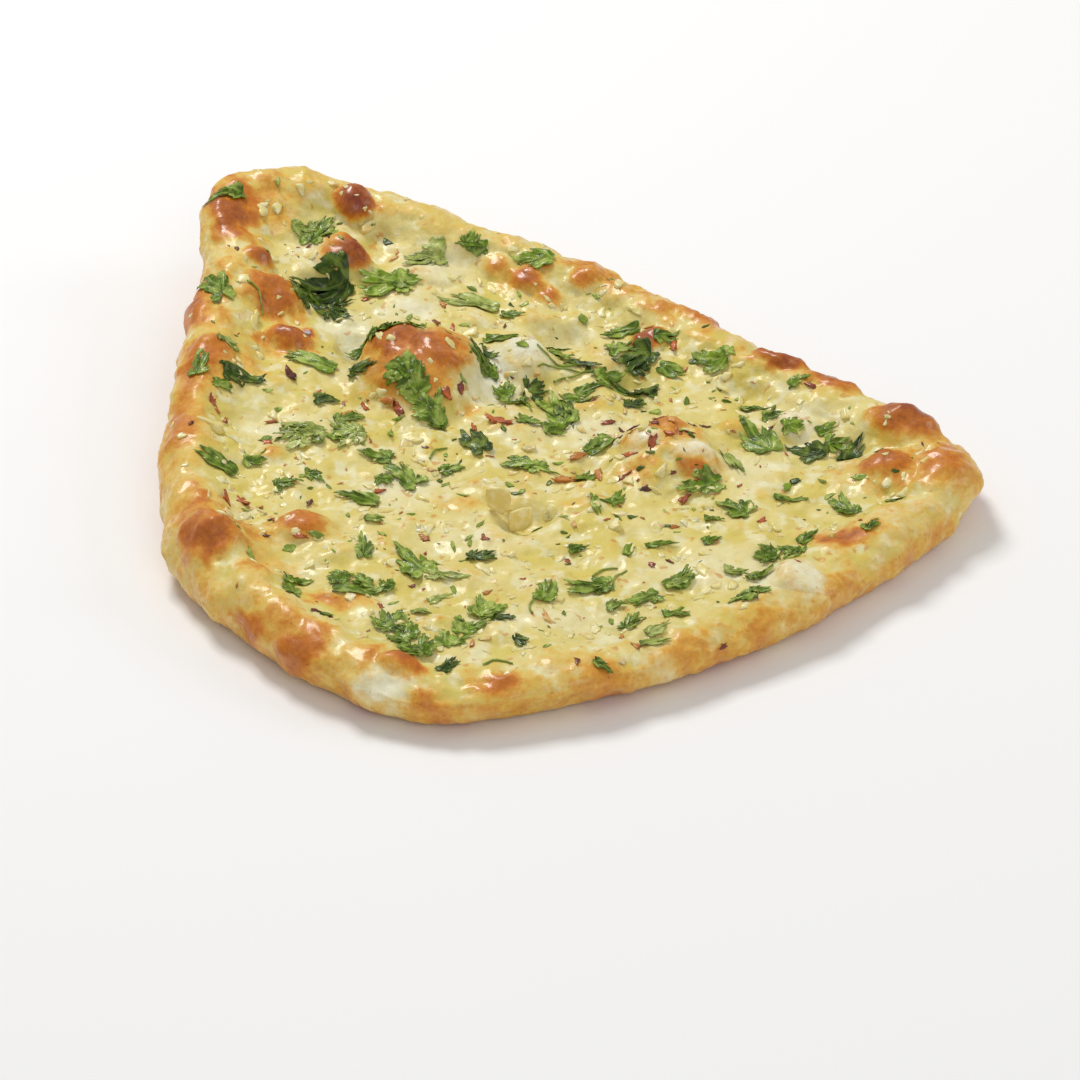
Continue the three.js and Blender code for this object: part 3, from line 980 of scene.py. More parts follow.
@dataclass
class LeafCutter:
    """Cuts flat pieces of coriander, tip along +X and about the origin."""

    draw: np.random.Generator
    rings: int = 8
    spokes_per_lobe: int = 18
    teeth: int = 3
    tooth_depth: float = 0.22
    spread: tuple[float, float] = (95, 125)
    notch: tuple[float, float] = (0.28, 0.58)
    lobe_reach: tuple[float, float] = (0.78, 1.08)
    wobble: tuple[float, float] = (0.95, 1.04)
    sway: float = 0.5
    rib_width: float = 0.08
    innermost: float = 0.03
    slender: float = 1.9
    tip_turn: float = 15.0
    pair_length: tuple[float, float] = (0.75, 1.0)
    pair_width: tuple[float, float] = (0.5, 0.75)
    pair_turn: tuple[float, float] = (20.0, 50.0)
    pair_offset: float = 0.2

    def cut(self, habit: Habit, length: float, width: float) -> Sheet:
        """Cut one piece.

        Args:
            habit: Its shape.
            length: From foot to tip, in metres.
            width: Across, in metres.

        Returns:
            The flat piece.
        """
        if habit is Habit.FROND:
            return self.frond(length, width)
        if habit is Habit.SLIVER:
            return self.leaflet(length, width, int(self.draw.integers(2, 4)))
        return self.leaflet(length, width, int(self.draw.integers(3, 6)))

    def leaflet(self, length: float, width: float, lobes: int) -> Sheet:
        """Cut one lobed, toothed leaflet.

        Args:
            length: From foot to tip, in metres.
            width: Across, in metres.
            lobes: How many lobes it has.

        Returns:
            The flat leaflet.
        """
        draw = self.draw
        spokes = self.spokes_per_lobe * lobes + 1
        spread = math.radians(draw.uniform(*self.spread))
        angle = np.linspace(-spread, spread, spokes)
        phase = (angle / spread + 1) / 2 * lobes
        number = np.minimum(phase, lobes - 1e-6).astype(int)
        within = phase - number
        notch = draw.uniform(*self.notch, lobes)[number]
        reach = draw.uniform(*self.lobe_reach, lobes)[number]
        lobe = notch + (reach - notch) * np.sin(math.pi * np.clip(within, 0, 1)) ** 0.6
        tooth = np.abs(np.sin(math.pi * self.teeth * within)) ** 0.7
        toothed = lobe * (1 - self.tooth_depth + self.tooth_depth * tooth)
        rim = toothed * (0.7 + 0.3 * np.cos(angle)) * draw.uniform(*self.wobble, spokes)
        shares = np.linspace(self.innermost, 1.0, self.rings)[:, None]
        x, y = shares * rim * np.cos(angle), shares * rim * np.sin(angle)
        x = (x - x.min()) / np.ptp(x) - 0.5
        y = y / np.ptp(y)
        y = y + draw.uniform(-self.sway, self.sway) * (x ** 2 - 0.1)
        rib = np.exp(-(((within - 0.5) / self.rib_width) ** 2)) * (1 - 0.5 * shares)
        faces = [
            (row * spokes + column, row * spokes + column + 1,
             (row + 1) * spokes + column + 1, (row + 1) * spokes + column)
            for row in range(self.rings - 1) for column in range(spokes - 1)
        ]
        edge = np.broadcast_to(shares, x.shape).ravel().copy()
        return Sheet(np.stack([x.ravel() * length, y.ravel() * width], axis=1), faces, rib.ravel(), edge)

    def frond(self, length: float, width: float) -> Sheet:
        """Cut a feathery piece: small leaflets along a rib.

        Args:
            length: Along the rib, in metres.
            width: Across, in metres.

        Returns:
            The flat piece.
        """
        draw = self.draw
        pairs = 2 + int(length / width > self.slender)
        plan = [(1.0, 0.85, 0.5 - 0.45 * width / length, 0.0, draw.uniform(-self.tip_turn, self.tip_turn))]
        for pair in range(pairs):
            for side in (-1, 1):
                along = (pair + draw.uniform(0.2, 0.7)) / pairs - 0.55
                plan.append((draw.uniform(*self.pair_length), draw.uniform(*self.pair_width), along,
                             side * self.pair_offset, side * draw.uniform(*self.pair_turn)))
        pieces = []
        for long, wide, along, across, heading in plan:
            part = self.leaflet(width * long, width * wide, 3)
            turn = Footprint(0, 0, 0, 0, math.radians(heading)).spin()
            part.points = part.points @ turn + np.array([along * length, across * width])
            pieces.append(part)
        return Sheet.joined(pieces)


@dataclass
class Draper:
    """Lays flat sheets on the bread, crumples them and gives them thickness; lengths in millimetres."""

    skin: Skin
    thickness: float = 0.16
    clearance: float = 0.14
    fold: float = 1.15
    fold_share: float = 0.4
    widest_fold: float = 12.0
    full_fold_from: float = 7.0
    ruffle: float = 0.5
    ruffle_size: float = 1.5
    upturn: float = 0.9
    rib_depth: float = 0.18

    def lay(self, sheet: Sheet, place: Footprint, draw: np.random.Generator) -> Sheet:
        """Lay one sheet.

        Args:
            sheet: The flat sheet.
            place: Where it goes.
            draw: The random numbers.

        Returns:
            The closed, crumpled sheet.
        """
        flat = sheet.points @ place.spin() + np.array([place.x, place.y])
        ground = np.array([self.skin.drop(x, y)[0].z for x, y in flat]) / MM
        level = np.column_stack([flat, np.zeros(len(flat))])
        seed = draw.uniform(0, 50)
        size = min(place.width, self.widest_fold * MM)
        folded = self.fold * min(1.0, size / (self.full_fold_from * MM))
        folds = folded * np.abs(noise_at(level, size * self.fold_share, seed))
        ruffles = self.ruffle * noise_at(level, self.ruffle_size * MM, seed)
        side = np.clip(noise_at(level, size, seed + 9) + 0.35, 0, 1)
        upturn = self.upturn * side * sheet.edge ** 3
        height = np.maximum(folds + ruffles + upturn - self.rib_depth * sheet.vein, 0)
        under = np.column_stack([flat, (ground + self.clearance + height) * MM])
        over = under + np.array([0, 0, self.thickness * MM])
        count = len(flat)
        backs = [tuple(corner + count for corner in reversed(face)) for face in sheet.faces]
        rims = self.rims(sheet.faces, count)
        return Sheet(np.concatenate([over, under]), sheet.faces + backs + rims,
                     np.tile(sheet.vein, 2), np.tile(sheet.edge, 2))

    @staticmethod
    def rims(faces: list, count: int) -> list[tuple[int, int, int, int]]:
        """Join the two sides of a sheet round its edges.

        Args:
            faces: The upper side's faces.
            count: How many corners each side has.

        Returns:
            One narrow face for each edge that only one face of the sheet uses.
        """
        open_edges: dict[tuple[int, int], tuple[int, int]] = {}
        for face in faces:
            for start, end in zip(face, face[1:] + face[:1]):
                if open_edges.pop((end, start), None) is None:
                    open_edges[(start, end)] = (start, end)
        return [(end, start, start + count, end + count) for start, end in open_edges.values()]


def draw_for(name: str) -> np.random.Generator:
    """Return random numbers that belong to one name."""
    return np.random.default_rng(sum(ord(letter) * (index + 3) for index, letter in enumerate(name)))


@dataclass
class Coriander:
    """One piece of coriander where a plain node lies."""

    node: str
    finish: bpy.types.Material
    grown: float = 1.12

    def build(self, draper: Draper) -> bpy.types.Object:
        """Cut the piece and lay it.

        Args:
            draper: What lays it on the bread.

        Returns:
            The finished piece.
        """
        place, draw = Footprint.of(self.node), draw_for(self.node)
        habit = Habit(self.node.split("_")[1])
        flat = LeafCutter(draw).cut(habit, place.length * self.grown, place.width * self.grown)
        laid = draper.lay(flat, place, draw)
        piece = mesh_piece(f"{self.node}_wilted", laid.points, laid.faces, self.finish)
        store(piece, "vein", laid.vein)
        return settle(piece, Slot.CORIANDER, self.node)


@dataclass
class LooseCoriander:
    """The smaller shreds of one tone, joined into one piece."""

    name: str
    finish: bpy.types.Material
    shreds: tuple[Footprint, ...]

    def build(self, draper: Draper) -> bpy.types.Object:
        """Cut and lay every shred.

        Args:
            draper: What lays them on the bread.

        Returns:
            The joined shreds.
        """
        draw = draw_for(self.name)
        laid = []
        for shred in self.shreds:
            broad = shred.width > 0.62 * shred.length
            cutter = LeafCutter(draw, rings=5, spokes_per_lobe=12)
            flat = cutter.cut(Habit.LEAFLET if broad else Habit.SLIVER, shred.length, shred.width)
            laid.append(draper.lay(flat, shred, draw))
        whole = Sheet.joined(laid)
        piece = mesh_piece(self.name, whole.points, whole.faces, self.finish)
        store(piece, "vein", whole.vein)
        return settle(piece, Slot.CORIANDER)


@dataclass
class Stalks:
    """Thin stalks lying along the skin, joined into one piece; lengths in millimetres."""

    name: str
    finish: bpy.types.Material
    places: tuple[Footprint, ...]
    nodes: tuple[str, ...] = ()
    radius: float = 0.45
    bow: float = 0.16
    taper: float = 0.35
    sides: int = 8
    steps: int = 20

    def build(self, skin: Skin) -> bpy.types.Object:
        """Lay every stalk.

        Args:
            skin: The bread's surface.

        Returns:
            The joined stalks.
        """
        stalks = Sheet.joined([self.stalk(place, skin) for place in self.places])
        piece = mesh_piece(self.name, stalks.points, stalks.faces, self.finish)
        store(piece, "vein", stalks.vein)
        return settle(piece, Slot.CORIANDER, *self.nodes)

    def stalk(self, place: Footprint, skin: Skin) -> Sheet:
        """Sweep one stalk along its bow.

        Args:
            place: Where it lies.
            skin: The bread's surface.

        Returns:
            The closed stalk.
        """
        share = np.linspace(0, 1, self.steps)
        bowed = place.length * np.stack([share - 0.5, np.sin(math.pi * share) * self.bow], axis=1)
        line = bowed @ place.spin() + np.array([place.x, place.y])
        across = Vector((-math.sin(place.heading), math.cos(place.heading), 0))
        points = []
        for step, (x, y) in enumerate(line):
            radius = self.radius * MM * (1 - self.taper * step / self.steps)
            middle = skin.drop(x, y)[0] + Vector((0, 0, radius * 1.3))
            for side in range(self.sides):
                angle = 2 * math.pi * side / self.sides
                points.append(middle + (across * math.cos(angle) + Vector((0, 0, math.sin(angle)))) * radius)
        faces: list = [
            (row * self.sides + side, row * self.sides + (side + 1) % self.sides,
             (row + 1) * self.sides + (side + 1) % self.sides, (row + 1) * self.sides + side)
            for row in range(self.steps - 1) for side in range(self.sides)
        ]
        last = (self.steps - 1) * self.sides
        faces += [tuple(reversed(range(self.sides))), tuple(last + side for side in range(self.sides))]
        calm = np.full(len(points), 0.4)
        return Sheet(np.array(points), faces, calm, calm)


class Chunk:
    """Knife-cut lumps: the shape of chopped garlic, crumbs and flakes."""

    ball_radius = 1.25
    taper = 0.45
    lean = 0.5
    wedge = 0.4

    def __init__(self, cuts: int) -> None:
        """Prepare a finely divided cube.

        Args:
            cuts: How often each edge of the cube is divided.
        """
        edit = bmesh.new()
        bmesh.ops.create_cube(edit, size=2.0)
        bmesh.ops.subdivide_edges(edit, edges=edit.edges, cuts=cuts, use_grid_fill=True)
        self.cube = np.array([corner.co for corner in edit.verts])
        self.ball = self.cube / np.linalg.norm(self.cube, axis=1)[:, None] * self.ball_radius
        self.faces = [tuple(corner.index for corner in face.verts) for face in edit.faces]
        edit.free()

    def shape(self, draw: np.random.Generator, chop: "Chop") -> np.ndarray:
        """Shape one lump: skewed, tapered, ragged and more or less rounded.

        Args:
            draw: The random numbers.
            chop: How it is cut.

        Returns:
            The lump's corners, filling a box of side 1.
        """
        soft = draw.uniform(*chop.softness)
        lump = self.cube * (1 - soft) + self.ball * soft
        taper = draw.uniform(-self.taper, self.taper, 2)
        lean = draw.uniform(-self.lean, self.lean, 2)
        wedge = draw.uniform(-self.wedge, self.wedge)
        lump[:, 0] *= 1 + taper[0] * lump[:, 1]
        lump[:, 1] *= 1 + taper[1] * lump[:, 0]
        lump[:, 2] *= 1 + wedge * lump[:, 0]
        lump[:, 0] += lean[0] * lump[:, 1]
        lump[:, 2] += lean[1] * 0.5 * lump[:, 1]
        lump *= 1 + chop.raggedness * noise_at(lump, chop.rag_size, draw.uniform(0, 50))[:, None]
        return (lump - (lump.max(0) + lump.min(0)) / 2) / np.ptp(lump, axis=0)


@dataclass(frozen=True)
class Chop:
    """How a kind of crumb is cut and bedded; shares are of its length."""

    width: tuple[float, float]
    height: tuple[float, float]
    bend: float
    sunk: float
    toast: tuple[float, float]
    softness: tuple[float, float] = (0.45, 0.85)
    point: float = 0.0
    raggedness: float = 0.55
    rag_size: float = 1.1


class Bedder:
    """Sets lumps into the buttered crust."""

    bend_draw = (-0.3, 1.0)
    toast_slope = 0.35

    def __init__(self, skin: Skin, chunk: Chunk, chop: Chop) -> None:
        """Keep the surface, the lump maker and the kind of crumb."""
        self.skin = skin
        self.chunk = chunk
        self.chop = chop

    def bed(self, place: Footprint, draw: np.random.Generator) -> Sheet:
        """Shape one lump and set it down.

        Args:
            place: Where it goes.
            draw: The random numbers.

        Returns:
            The lump, its toast kept as its vein.
        """
        chop = self.chop
        height = place.length * draw.uniform(*chop.height)
        lump = self.chunk.shape(draw, chop)
        end = lump[:, 0] + 0.5
        lump[:, 1:] *= 1 - chop.point * (4 * lump[:, [0]] ** 2)
        lump[:, 2] += chop.bend * draw.uniform(*self.bend_draw) * (4 * lump[:, 0] ** 2 - 0.5)
        lump = lump * np.array([place.length, place.width, height])
        hit, normal = self.skin.drop(place.x, place.y)
        turned = normal.to_track_quat("Z", "Y").to_matrix() @ Matrix.Rotation(place.heading, 3, "Z")
        points = lump @ np.array(turned).T + np.array(hit + normal * height * (0.5 - chop.sunk))
        low, high = chop.toast
        toast = np.clip(draw.uniform(low, high) + self.toast_slope * (high - low) * (end - 0.5), 0, 1)
        return Sheet(points, self.chunk.faces, toast, toast)


@dataclass
class Crumb:
    """One larger crumb where a plain node lies."""

    node: str
    finish: bpy.types.Material
    slot: Slot

    def build(self, bedder: Bedder) -> bpy.types.Object:
        """Shape the crumb and bed it.

        Args:
            bedder: What sets it down.

        Returns:
            The finished crumb.
        """
        lump = bedder.bed(Footprint.of(self.node), draw_for(self.node))
        piece = mesh_piece(f"{self.node}_cooked", lump.points, lump.faces, self.finish)
        store(piece, "toast", lump.vein)
        return settle(piece, self.slot, self.node)


@dataclass
class GarlicSlice:
    """A thin, bent slice of garlic that stands in a finger dimple; lengths in millimetres."""

    node: str
    finish: bpy.types.Material
    heading: float
    thickness: float = 1.5
    bend_radius: float = 6.5
    half_bend: float = 34.0
    softness: float = 0.45
    waviness: float = 0.35
    least_toast: float = 0.04
    browned_sides: float = 0.42
    cuts: int = 9

    def build(self) -> bpy.types.Object:
        """Shape the slice and stand it where its plain node stands.

        Returns:
            The finished slice.
        """
        low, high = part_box(self.node)
        chunk = Chunk(self.cuts)
        slab = chunk.cube * (1 - self.softness) + chunk.ball * self.softness
        slab = slab / np.abs(slab).max(0)
        angle = math.radians(self.half_bend) * slab[:, 1]
        reach = self.bend_radius + 0.5 * self.thickness * slab[:, 0]
        height = (high.z - low.z) / MM
        curled = np.stack([
            reach * np.cos(angle), reach * np.sin(angle),
            height * (0.5 + 0.5 * slab[:, 2] * (1 - 0.12 * slab[:, 1] ** 2))], axis=1) * MM
        curled[:, 0] -= self.bend_radius * MM
        curled[:, :2] = curled[:, :2] @ Footprint.drawn(0, 0, 0, 0, self.heading).spin()
        curled[:, :2] += np.array([(low.x + high.x) / 2, (low.y + high.y) / 2])
        curled[:, 2] += low.z
        curled += (self.waviness * MM * noise_at(curled, 4 * MM, float(len(self.node))))[:, None]
        done = mesh_piece(f"{self.node}_cooked", curled, chunk.faces, self.finish)
        store(done, "toast", self.least_toast + self.browned_sides * slab[:, 1] ** 6)
        return settle(done, Slot.GARLIC, self.node)


@dataclass(frozen=True)
class Sprinkle:
    """One kind of crumb strewn over the bread: a few placed, many by chance; lengths in millimetres."""

    name: str
    slot: Slot
    chop: Chop
    count: int
    smallest: float
    largest: float
    rim_share: float
    seed: int
    fineness: int = 3
    inside: float = 15.0
    edge_gap: float = 3.0
    drift_size: float = 20.0
    evenness: float = 0.55
    clumping: float = 1.2
    small_bias: float = 1.6
    named: tuple[Footprint, ...] = ()

    def places(self, skin: Skin, draw: np.random.Generator) -> list[Footprint]:
        """Choose where the crumbs fall: thickly in the middle, thinly on the rim.

        Args:
            skin: The bread's surface.
            draw: The random numbers.

        Returns:
            A footprint for each crumb.
        """
        low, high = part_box(BREAD_NODE)
        found = list(self.named)
        while len(found) < self.count + len(self.named):
            x, y = draw.uniform(low.x, high.x), draw.uniform(low.y, high.y)
            inside = skin.from_side(x, y) / MM
            drift_size = self.drift_size * MM
            drift = noise.noise(Vector((x / drift_size, y / drift_size, self.seed)))
            chance = 1.0 if inside > self.inside else self.rim_share
            chance *= self.evenness + self.clumping * drift
            if inside > self.edge_gap and draw.random() < chance:
                size_range = self.largest - self.smallest
                length = draw.uniform(0, 1) ** self.small_bias * size_range + self.smallest
                wide = length * draw.uniform(*self.chop.width)
                found.append(Footprint.drawn(x / MM, y / MM, length, wide, draw.uniform(0, 360)))
        return found

    def build(self, skin: Skin, finish: bpy.types.Material, attribute: str) -> bpy.types.Object:
        """Shape every crumb, bed it and join them all.

        Args:
            skin: The bread's surface.
            finish: The crumbs' material.
            attribute: What the material reads from the mesh.

        Returns:
            The joined crumbs.
        """
        draw = np.random.default_rng(self.seed)
        bedder = Bedder(skin, Chunk(self.fineness), self.chop)
        lumps = Sheet.joined([bedder.bed(place, draw) for place in self.places(skin, draw)])
        piece = mesh_piece(self.name, lumps.points, lumps.faces, finish)
        store(piece, attribute, lumps.vein)
        return settle(piece, self.slot)


def drawn_all(*rows: tuple[float, float, float, float, float]) -> tuple[Footprint, ...]:
    """Make footprints from rows of x, y, length, width and heading in millimetres and degrees."""
    return tuple(Footprint.drawn(*row) for row in rows)


GARLIC_CHOP = Chop(width=(0.35, 0.9), height=(0.26, 0.46), bend=0.15, sunk=0.64, toast=(0.0, 0.36))
BROWNED_CHOP = Chop(
    width=(0.3, 0.6), height=(0.14, 0.28), bend=0.6, sunk=0.2, toast=(0.35, 0.85),
    softness=(0.1, 0.4), point=0.35, raggedness=0.9, rag_size=0.8)
FLAKE_CHOP = Chop(
    width=(0.3, 0.6), height=(0.1, 0.2), bend=1.2, sunk=0.05, toast=(0.0, 0.8),
    softness=(0.0, 0.2), point=0.3, raggedness=1.1, rag_size=0.7)
SHRED_CHOP = Chop(
    width=(0.3, 0.65), height=(0.08, 0.16), bend=1.2, sunk=0.0, toast=(0.0, 0.5),
    softness=(0.1, 0.4), point=0.6)

SLICE_HEADINGS = {"garlic_slice_1": -105.0, "garlic_slice_2": -65.0}
TONES = {
    LeafTone.DARK: ("coriander_leaf_2", "coriander_leaf_8", "coriander_leaf_9", "coriander_leaf_12",
                    "coriander_sliver_3", "coriander_sliver_12"),
    LeafTone.BRIGHT: ("coriander_leaf_6", "coriander_leaf_7", "coriander_leaf_10", "coriander_leaf_17",
                      "coriander_leaf_18", "coriander_sliver_2", "coriander_leaf_3", "coriander_frond_5"),
    LeafTone.PALE: ("coriander_leaf_4", "coriander_frond_3", "coriander_sliver_4"),
}
LOOSE_SHREDS = {
    LeafTone.DARK: drawn_all(
        (-69, 63, 9, 6, -20), (-61, 33, 9, 7, 0), (-98, 22, 6, 6, 0), (-26, 43, 12, 8, -60),
        (-10, 30, 8, 7, 0), (19, 22, 7, 6, 0), (81, -4, 12, 6, 50), (-71, 20, 8, 6, 0),
        (-33, -110, 8, 5, 60), (-19, -87, 8, 5, -20), (-14, -98, 5, 3, -40), (-25, -58, 9, 6, 0),
        (-79, 69, 16, 9, -65), (-71, 70, 12, 9, 20), (-74, 73, 10, 6, -20), (4, 42, 12, 5, -20),
        (20, 44, 10, 6, -50), (-2, 18, 11, 6, -80), (24, 31, 9, 5, 70),
    ),
    LeafTone.MID: drawn_all(
        (-49, 81, 9, 8, 0), (-49, 47, 13, 4, 15), (-108, 23, 9, 7, 80), (-17, 68, 8, 4, -15),
        (-3, 49, 9, 7, -30), (15, 51, 9, 7, 20), (54, 19, 10, 4, -20), (59, 14, 7, 5, 0),
        (74, 6, 7, 4, 25), (67, 25, 7, 5, 10), (91, -33, 6, 4, 0), (83, -49, 6, 4, 30),
        (62, -28, 10, 4, -8), (51, -68, 8, 6, 0), (51, -78, 6, 4, 0), (66, -47, 9, 4, 50),
        (40, -39, 6, 4, 0), (39, -49, 6, 4, 20), (30, -68, 9, 6, 40), (29, 54, 8, 5, 0),
        (-101, 17, 6, 4, 0), (-53, -20, 6, 5, 0), (-73, -19, 8, 5, -30), (-80, -23, 9, 6, 10),
        (-59, -75, 13, 5, 0), (-75, -67, 8, 5, 20), (-34, -13, 8, 5, 15), (13, -30, 8, 4, 55),
        (25, -51, 10, 3, 10), (16, -54, 8, 3, 70), (2, -53, 6, 4, 0), (12, -81, 6, 4, 0),
        (29, -69, 9, 5, 20), (16, -88, 9, 6, 60), (8, -111, 6, 3, -30), (28, -86, 8, 5, 10),
        (-64, 11, 9, 6, 30), (-80, 5, 8, 5, -10), (-12, 9, 9, 5, -30), (12, 38, 12, 7, 30),
        (7, 31, 12, 4, 10), (3, 26, 12, 5, -10), (30, 40, 9, 5, -30), (-20, 52, 12, 5, -25),
        (-4, 55, 10, 4, -20),
    ),
    LeafTone.BRIGHT: drawn_all(
        (77, 0, 8, 7, 0), (-90, -12, 7, 5, 0), (-64, 1, 12, 9, -30), (-30, 97, 6, 5, 40),
        (-7, -75, 9, 7, 80), (-9, -15, 13, 4, -20), (-55, -41, 6, 3, 0), (7, -34, 10, 3, -80),
        (64, 5, 7, 5, 0), (-4, 7, 9, 6, 20),
    ),
    LeafTone.PALE: drawn_all(
        (-81, 99, 8, 5, 0), (-100, 36, 7, 6, 0), (46, -11, 12, 5, -65), (45, -65, 7, 5, 0),
        (-34, -68, 13, 4, -8), (23, -94, 9, 5, 45), (22, -100, 9, 3, 10), (-41, -86, 6, 3, 0),
        (-36, -77, 8, 3, 30),
    ),
}
STALKS = drawn_all(
    (-94, 61, 9, 0, -60), (-38, -4, 7, 0, 45), (-10, -82, 10, 0, 80), (9, -65, 8, 0, 30),
    (13, -68, 8, 0, 60), (-20, -110, 8, 0, 0), (-3, 37, 13, 0, 10), (-15, 21, 12, 0, -50),
    (6, 35, 22, 0, 8), (15, 29, 15, 0, -30), (-11, 49, 18, 0, -25), (2, 21, 14, 0, 60),
)
NAMED_GARLIC = drawn_all(
    (-94, 53, 9, 3, 60), (-10, -9, 6, 3, 0), (-99, -16, 6, 3, 20), (45, 32, 5, 3, 0), (-1, 17, 6, 3, 0),
    (-24, -21, 5, 3, 20), (-91, -39, 6, 3, 0), (26, -20, 6, 3, 30), (-62, -1, 6, 4, 10),
    (-40, -43, 6, 4, 0), (40, -23, 5, 3, 50), (-52, -33, 6, 4, 70), (12, -43, 6, 4, 20),
    (-60, -48, 5, 4, 0), (50, 17, 6, 4, 0), (-30, 57, 6, 4, 30), (-45, 2, 6, 4, 10),
)
NAMED_BROWNED = drawn_all(
    (-65, 13, 5, 3, 0), (-87, 10, 5, 3, 30), (-82, 9, 5, 3, 0), (2, -7, 7, 3, 10), (8, -17, 6, 3, -20),
    (-2, -20, 8, 4, -20), (-7, -88, 7, 3, 30), (-38, 72, 4, 2, 0), (13, -97, 3, 2, 0), (13, -108, 3, 2, 0),
    (25, -42, 3, 2, 0), (-40, -13, 4, 3, 0), (-41, -47, 4, 3, 0), (-53, 18, 6, 3, 10), (21, 5, 5, 3, 20),
    (29, 2, 5, 3, -20), (24, 59, 4, 3, 0),
)
NAMED_FLAKES = drawn_all(
    (-97, -35, 7, 2.4, 30), (-75, -50, 5, 2, 0), (-84, -42, 4, 2, 50), (-74, -31, 4, 2, 0),
    (-87, -2, 3, 2, 0), (-36, 18, 5, 3, 80), (-40, 62, 4, 3, 0), (-35, 60, 4, 2, 60), (31, 50, 6, 3, -20),
    (70, 22, 5, 2, -20), (58, 7, 3, 2, 0), (-1, -58, 3, 2, 0), (-24, -51, 3, 2, 30), (22, -61, 3, 2, 0),
    (27, -59, 3, 2, 50), (53, -41, 4, 2, 0), (41, -98, 3, 2, 0), (1, -110, 4, 2, 20), (11, 11, 5, 2, 0),
    (34, -2, 6, 2.6, 40), (31, -5, 6, 3, 10), (15, 7, 5, 2.4, 0), (15, -19, 6, 2.6, 60),
    (21, -25, 5, 2.4, 0), (32, -28, 6, 2.6, 30), (35, 7, 4, 2, 0), (39, 8, 4, 2, 0), (18, -2, 6, 2.6, 20),
    (13, 2, 5, 2, -40), (23, -11, 6, 3, 70), (28, -8, 5, 2, -20), (26, 6, 5, 2.2, -10),
    (37, -20, 6, 2.8, 0), (17, -12, 5, 2.4, 30), (-60, 20, 5, 2.4, 40), (-50, 15, 6, 3, -30),
    (-32, 22, 6, 3, 50), (-28, 8, 5, 2.4, 0), (-47, 52, 5, 2.4, 20), (-38, 50, 6, 2.4, -20),
    (7, 22, 4, 2, 0), (-103, 9, 7, 3, 60), (-100, 5, 5, 2, 20), (-54, -24, 4, 2, 0), (-52, -82, 3, 2, 0),
    (-65, -89, 3, 2, 0), (24, 1, 4, 2, 70),
)
SPRINKLES_GARLIC = (
    Sprinkle("minced_garlic", Slot.GARLIC, GARLIC_CHOP, count=520, smallest=1.8, largest=5.6,
             rim_share=0.1, seed=5, named=NAMED_GARLIC),
    Sprinkle("toasted_garlic", Slot.GARLIC, BROWNED_CHOP, count=60, smallest=1.4, largest=4.2,
             rim_share=0.3, seed=17, named=NAMED_BROWNED),
)
SPRINKLE_FLAKES = Sprinkle(
    "scorched_flakes", Slot.FLAKE, FLAKE_CHOP, count=90, smallest=1.0, largest=3.4,
    rim_share=0.35, seed=29, named=NAMED_FLAKES)
SPRINKLES_HERB = {
    LeafTone.BRIGHT: Sprinkle(
        "chopped_coriander_bright", Slot.CORIANDER, SHRED_CHOP, count=150, smallest=1.4, largest=5.5,
        rim_share=0.16, seed=37),
    LeafTone.DARK: Sprinkle(
        "chopped_coriander_dark", Slot.CORIANDER, SHRED_CHOP, count=100, smallest=1.2, largest=4.6,
        rim_share=0.16, seed=43),
}


# --------------------------------------------------------------------------------------------------
# Studio
# --------------------------------------------------------------------------------------------------
@dataclass(frozen=True)
class Lamp:
    """One soft rectangular light, aimed at the bread; lengths in metres."""

    name: str
    at: tuple[float, float, float]
    size: float
    power: float
    tint: tuple[float, float, float] = (1.0, 1.0, 1.0)


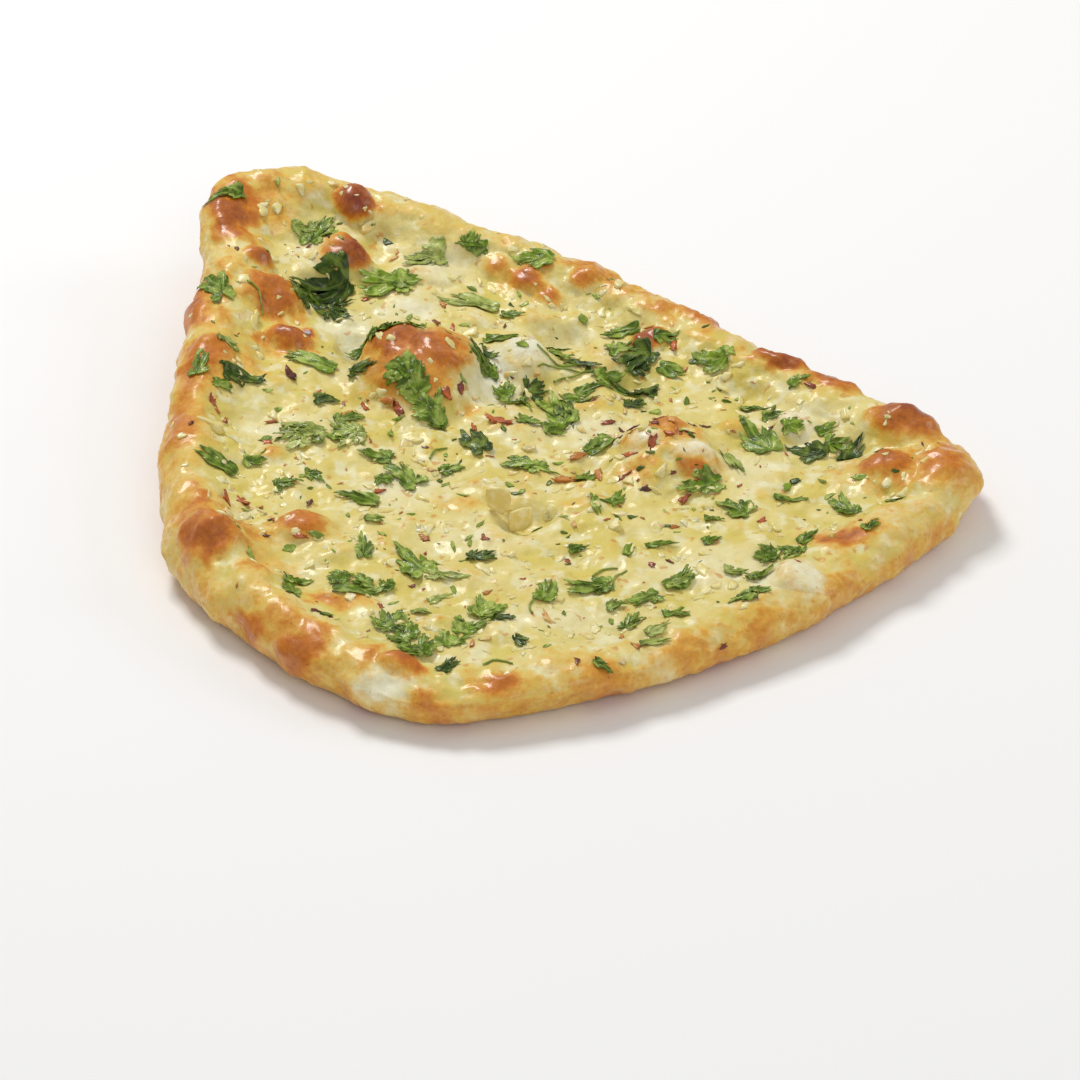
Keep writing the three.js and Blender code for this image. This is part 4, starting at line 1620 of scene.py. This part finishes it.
@dataclass
class Studio:
    """A pale floor, soft lights and the camera."""

    floor_size: float = 6.0
    eye: tuple[float, float, float] = (-0.00883, -0.96727, 0.63768)
    tilt_down: float = 34.266
    lens: float = 133.33
    sensor: float = 36.0
    lamps: tuple[Lamp, ...] = (
        Lamp("key_light", (-0.5, 0.8, 1.3), 0.5, 15.0, (1.0, 0.985, 0.96)),
        Lamp("front_light", (0.35, -1.3, 1.0), 0.8, 4.5),
        Lamp("side_light", (1.1, 0.1, 0.7), 0.5, 2.0),
    )
    ambient: float = 0.4

    def build(self) -> None:
        """Set up the floor, the lights, the surroundings and the camera."""
        self.floor()
        for lamp in self.lamps:
            self.hang(lamp)
        world = bpy.data.worlds.new("studio")
        world.use_nodes = True
        world.node_tree.nodes["Background"].inputs["Color"].default_value = (1.0, 1.0, 1.0, 1.0)
        world.node_tree.nodes["Background"].inputs["Strength"].default_value = self.ambient
        bpy.context.scene.world = world
        bpy.context.scene.view_settings.view_transform = "Standard"
        self.camera()

    def floor(self) -> None:
        """Lay the floor at the bread's underside."""
        half = self.floor_size / 2
        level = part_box(BREAD_NODE)[0].z
        corners = ((-half, -half), (half, -half), (half, half), (-half, half))
        points = np.array([(x, y, level) for x, y in corners])
        mesh_piece("studio_floor", points, [(0, 1, 2, 3)], PaleFloor().material())

    def hang(self, lamp: Lamp) -> None:
        """Place one light and aim it at the bread."""
        light = bpy.data.lights.new(lamp.name, "AREA")
        light.size = lamp.size
        light.energy = lamp.power
        light.color = lamp.tint
        holder = bpy.data.objects.new(lamp.name, light)
        holder.location = lamp.at
        holder.rotation_euler = (-Vector(lamp.at)).to_track_quat("-Z", "Y").to_euler()
        bpy.context.scene.collection.objects.link(holder)

    def camera(self) -> None:
        """Place the camera in front of the bread, looking down on it."""
        data = bpy.data.cameras.new("camera")
        data.lens = self.lens
        data.sensor_width = self.sensor
        data.clip_end = 10 * self.floor_size
        holder = bpy.data.objects.new("camera", data)
        holder.location = self.eye
        holder.rotation_euler = (math.radians(90 - self.tilt_down), 0.0, 0.0)
        bpy.context.scene.collection.objects.link(holder)
        bpy.context.scene.camera = holder


def main() -> None:
    """Build the studio, the bread and everything strewn on it."""
    logging.basicConfig(level=logging.INFO, format="%(name)s %(message)s")
    Studio().build()
    skin = Skin(Bread().build())
    draper = Draper(skin)
    tones = {tone: CorianderLeaf(tone).material() for tone in LeafTone}
    garlic, flake = CookedGarlic().material(), BrownedFlake().material()
    chosen = {node: tone for tone, nodes in TONES.items() for node in nodes}
    lumps, flakes = (Bedder(skin, Chunk(6), chop) for chop in (GARLIC_CHOP, FLAKE_CHOP))
    stems = tuple(node for node in sorted(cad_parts) if node.startswith("coriander_stem"))
    for node in sorted(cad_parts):
        if node.startswith("garlic_slice"):
            GarlicSlice(node, garlic, SLICE_HEADINGS[node]).build()
        elif node.startswith("garlic_bit"):
            Crumb(node, garlic, Slot.GARLIC).build(lumps)
        elif node.startswith("browned_flake"):
            Crumb(node, flake, Slot.FLAKE).build(flakes)
        elif node.startswith("coriander") and node not in stems:
            Coriander(node, tones[chosen.get(node, LeafTone.MID)]).build(draper)
    Stalks("picked_stalks", tones[LeafTone.BRIGHT], tuple(map(Footprint.of, stems)), stems).build(skin)
    Stalks("loose_stalks", tones[LeafTone.MID], STALKS, radius=0.35).build(skin)
    for tone, shreds in LOOSE_SHREDS.items():
        LooseCoriander(f"loose_coriander_{tone.name.lower()}", tones[tone], shreds).build(draper)
    for sprinkle in SPRINKLES_GARLIC:
        sprinkle.build(skin, garlic, "toast")
    SPRINKLE_FLAKES.build(skin, flake, "toast")
    for tone, sprinkle in SPRINKLES_HERB.items():
        sprinkle.build(skin, tones[tone], "vein")


if __name__ == "__main__":
    main()
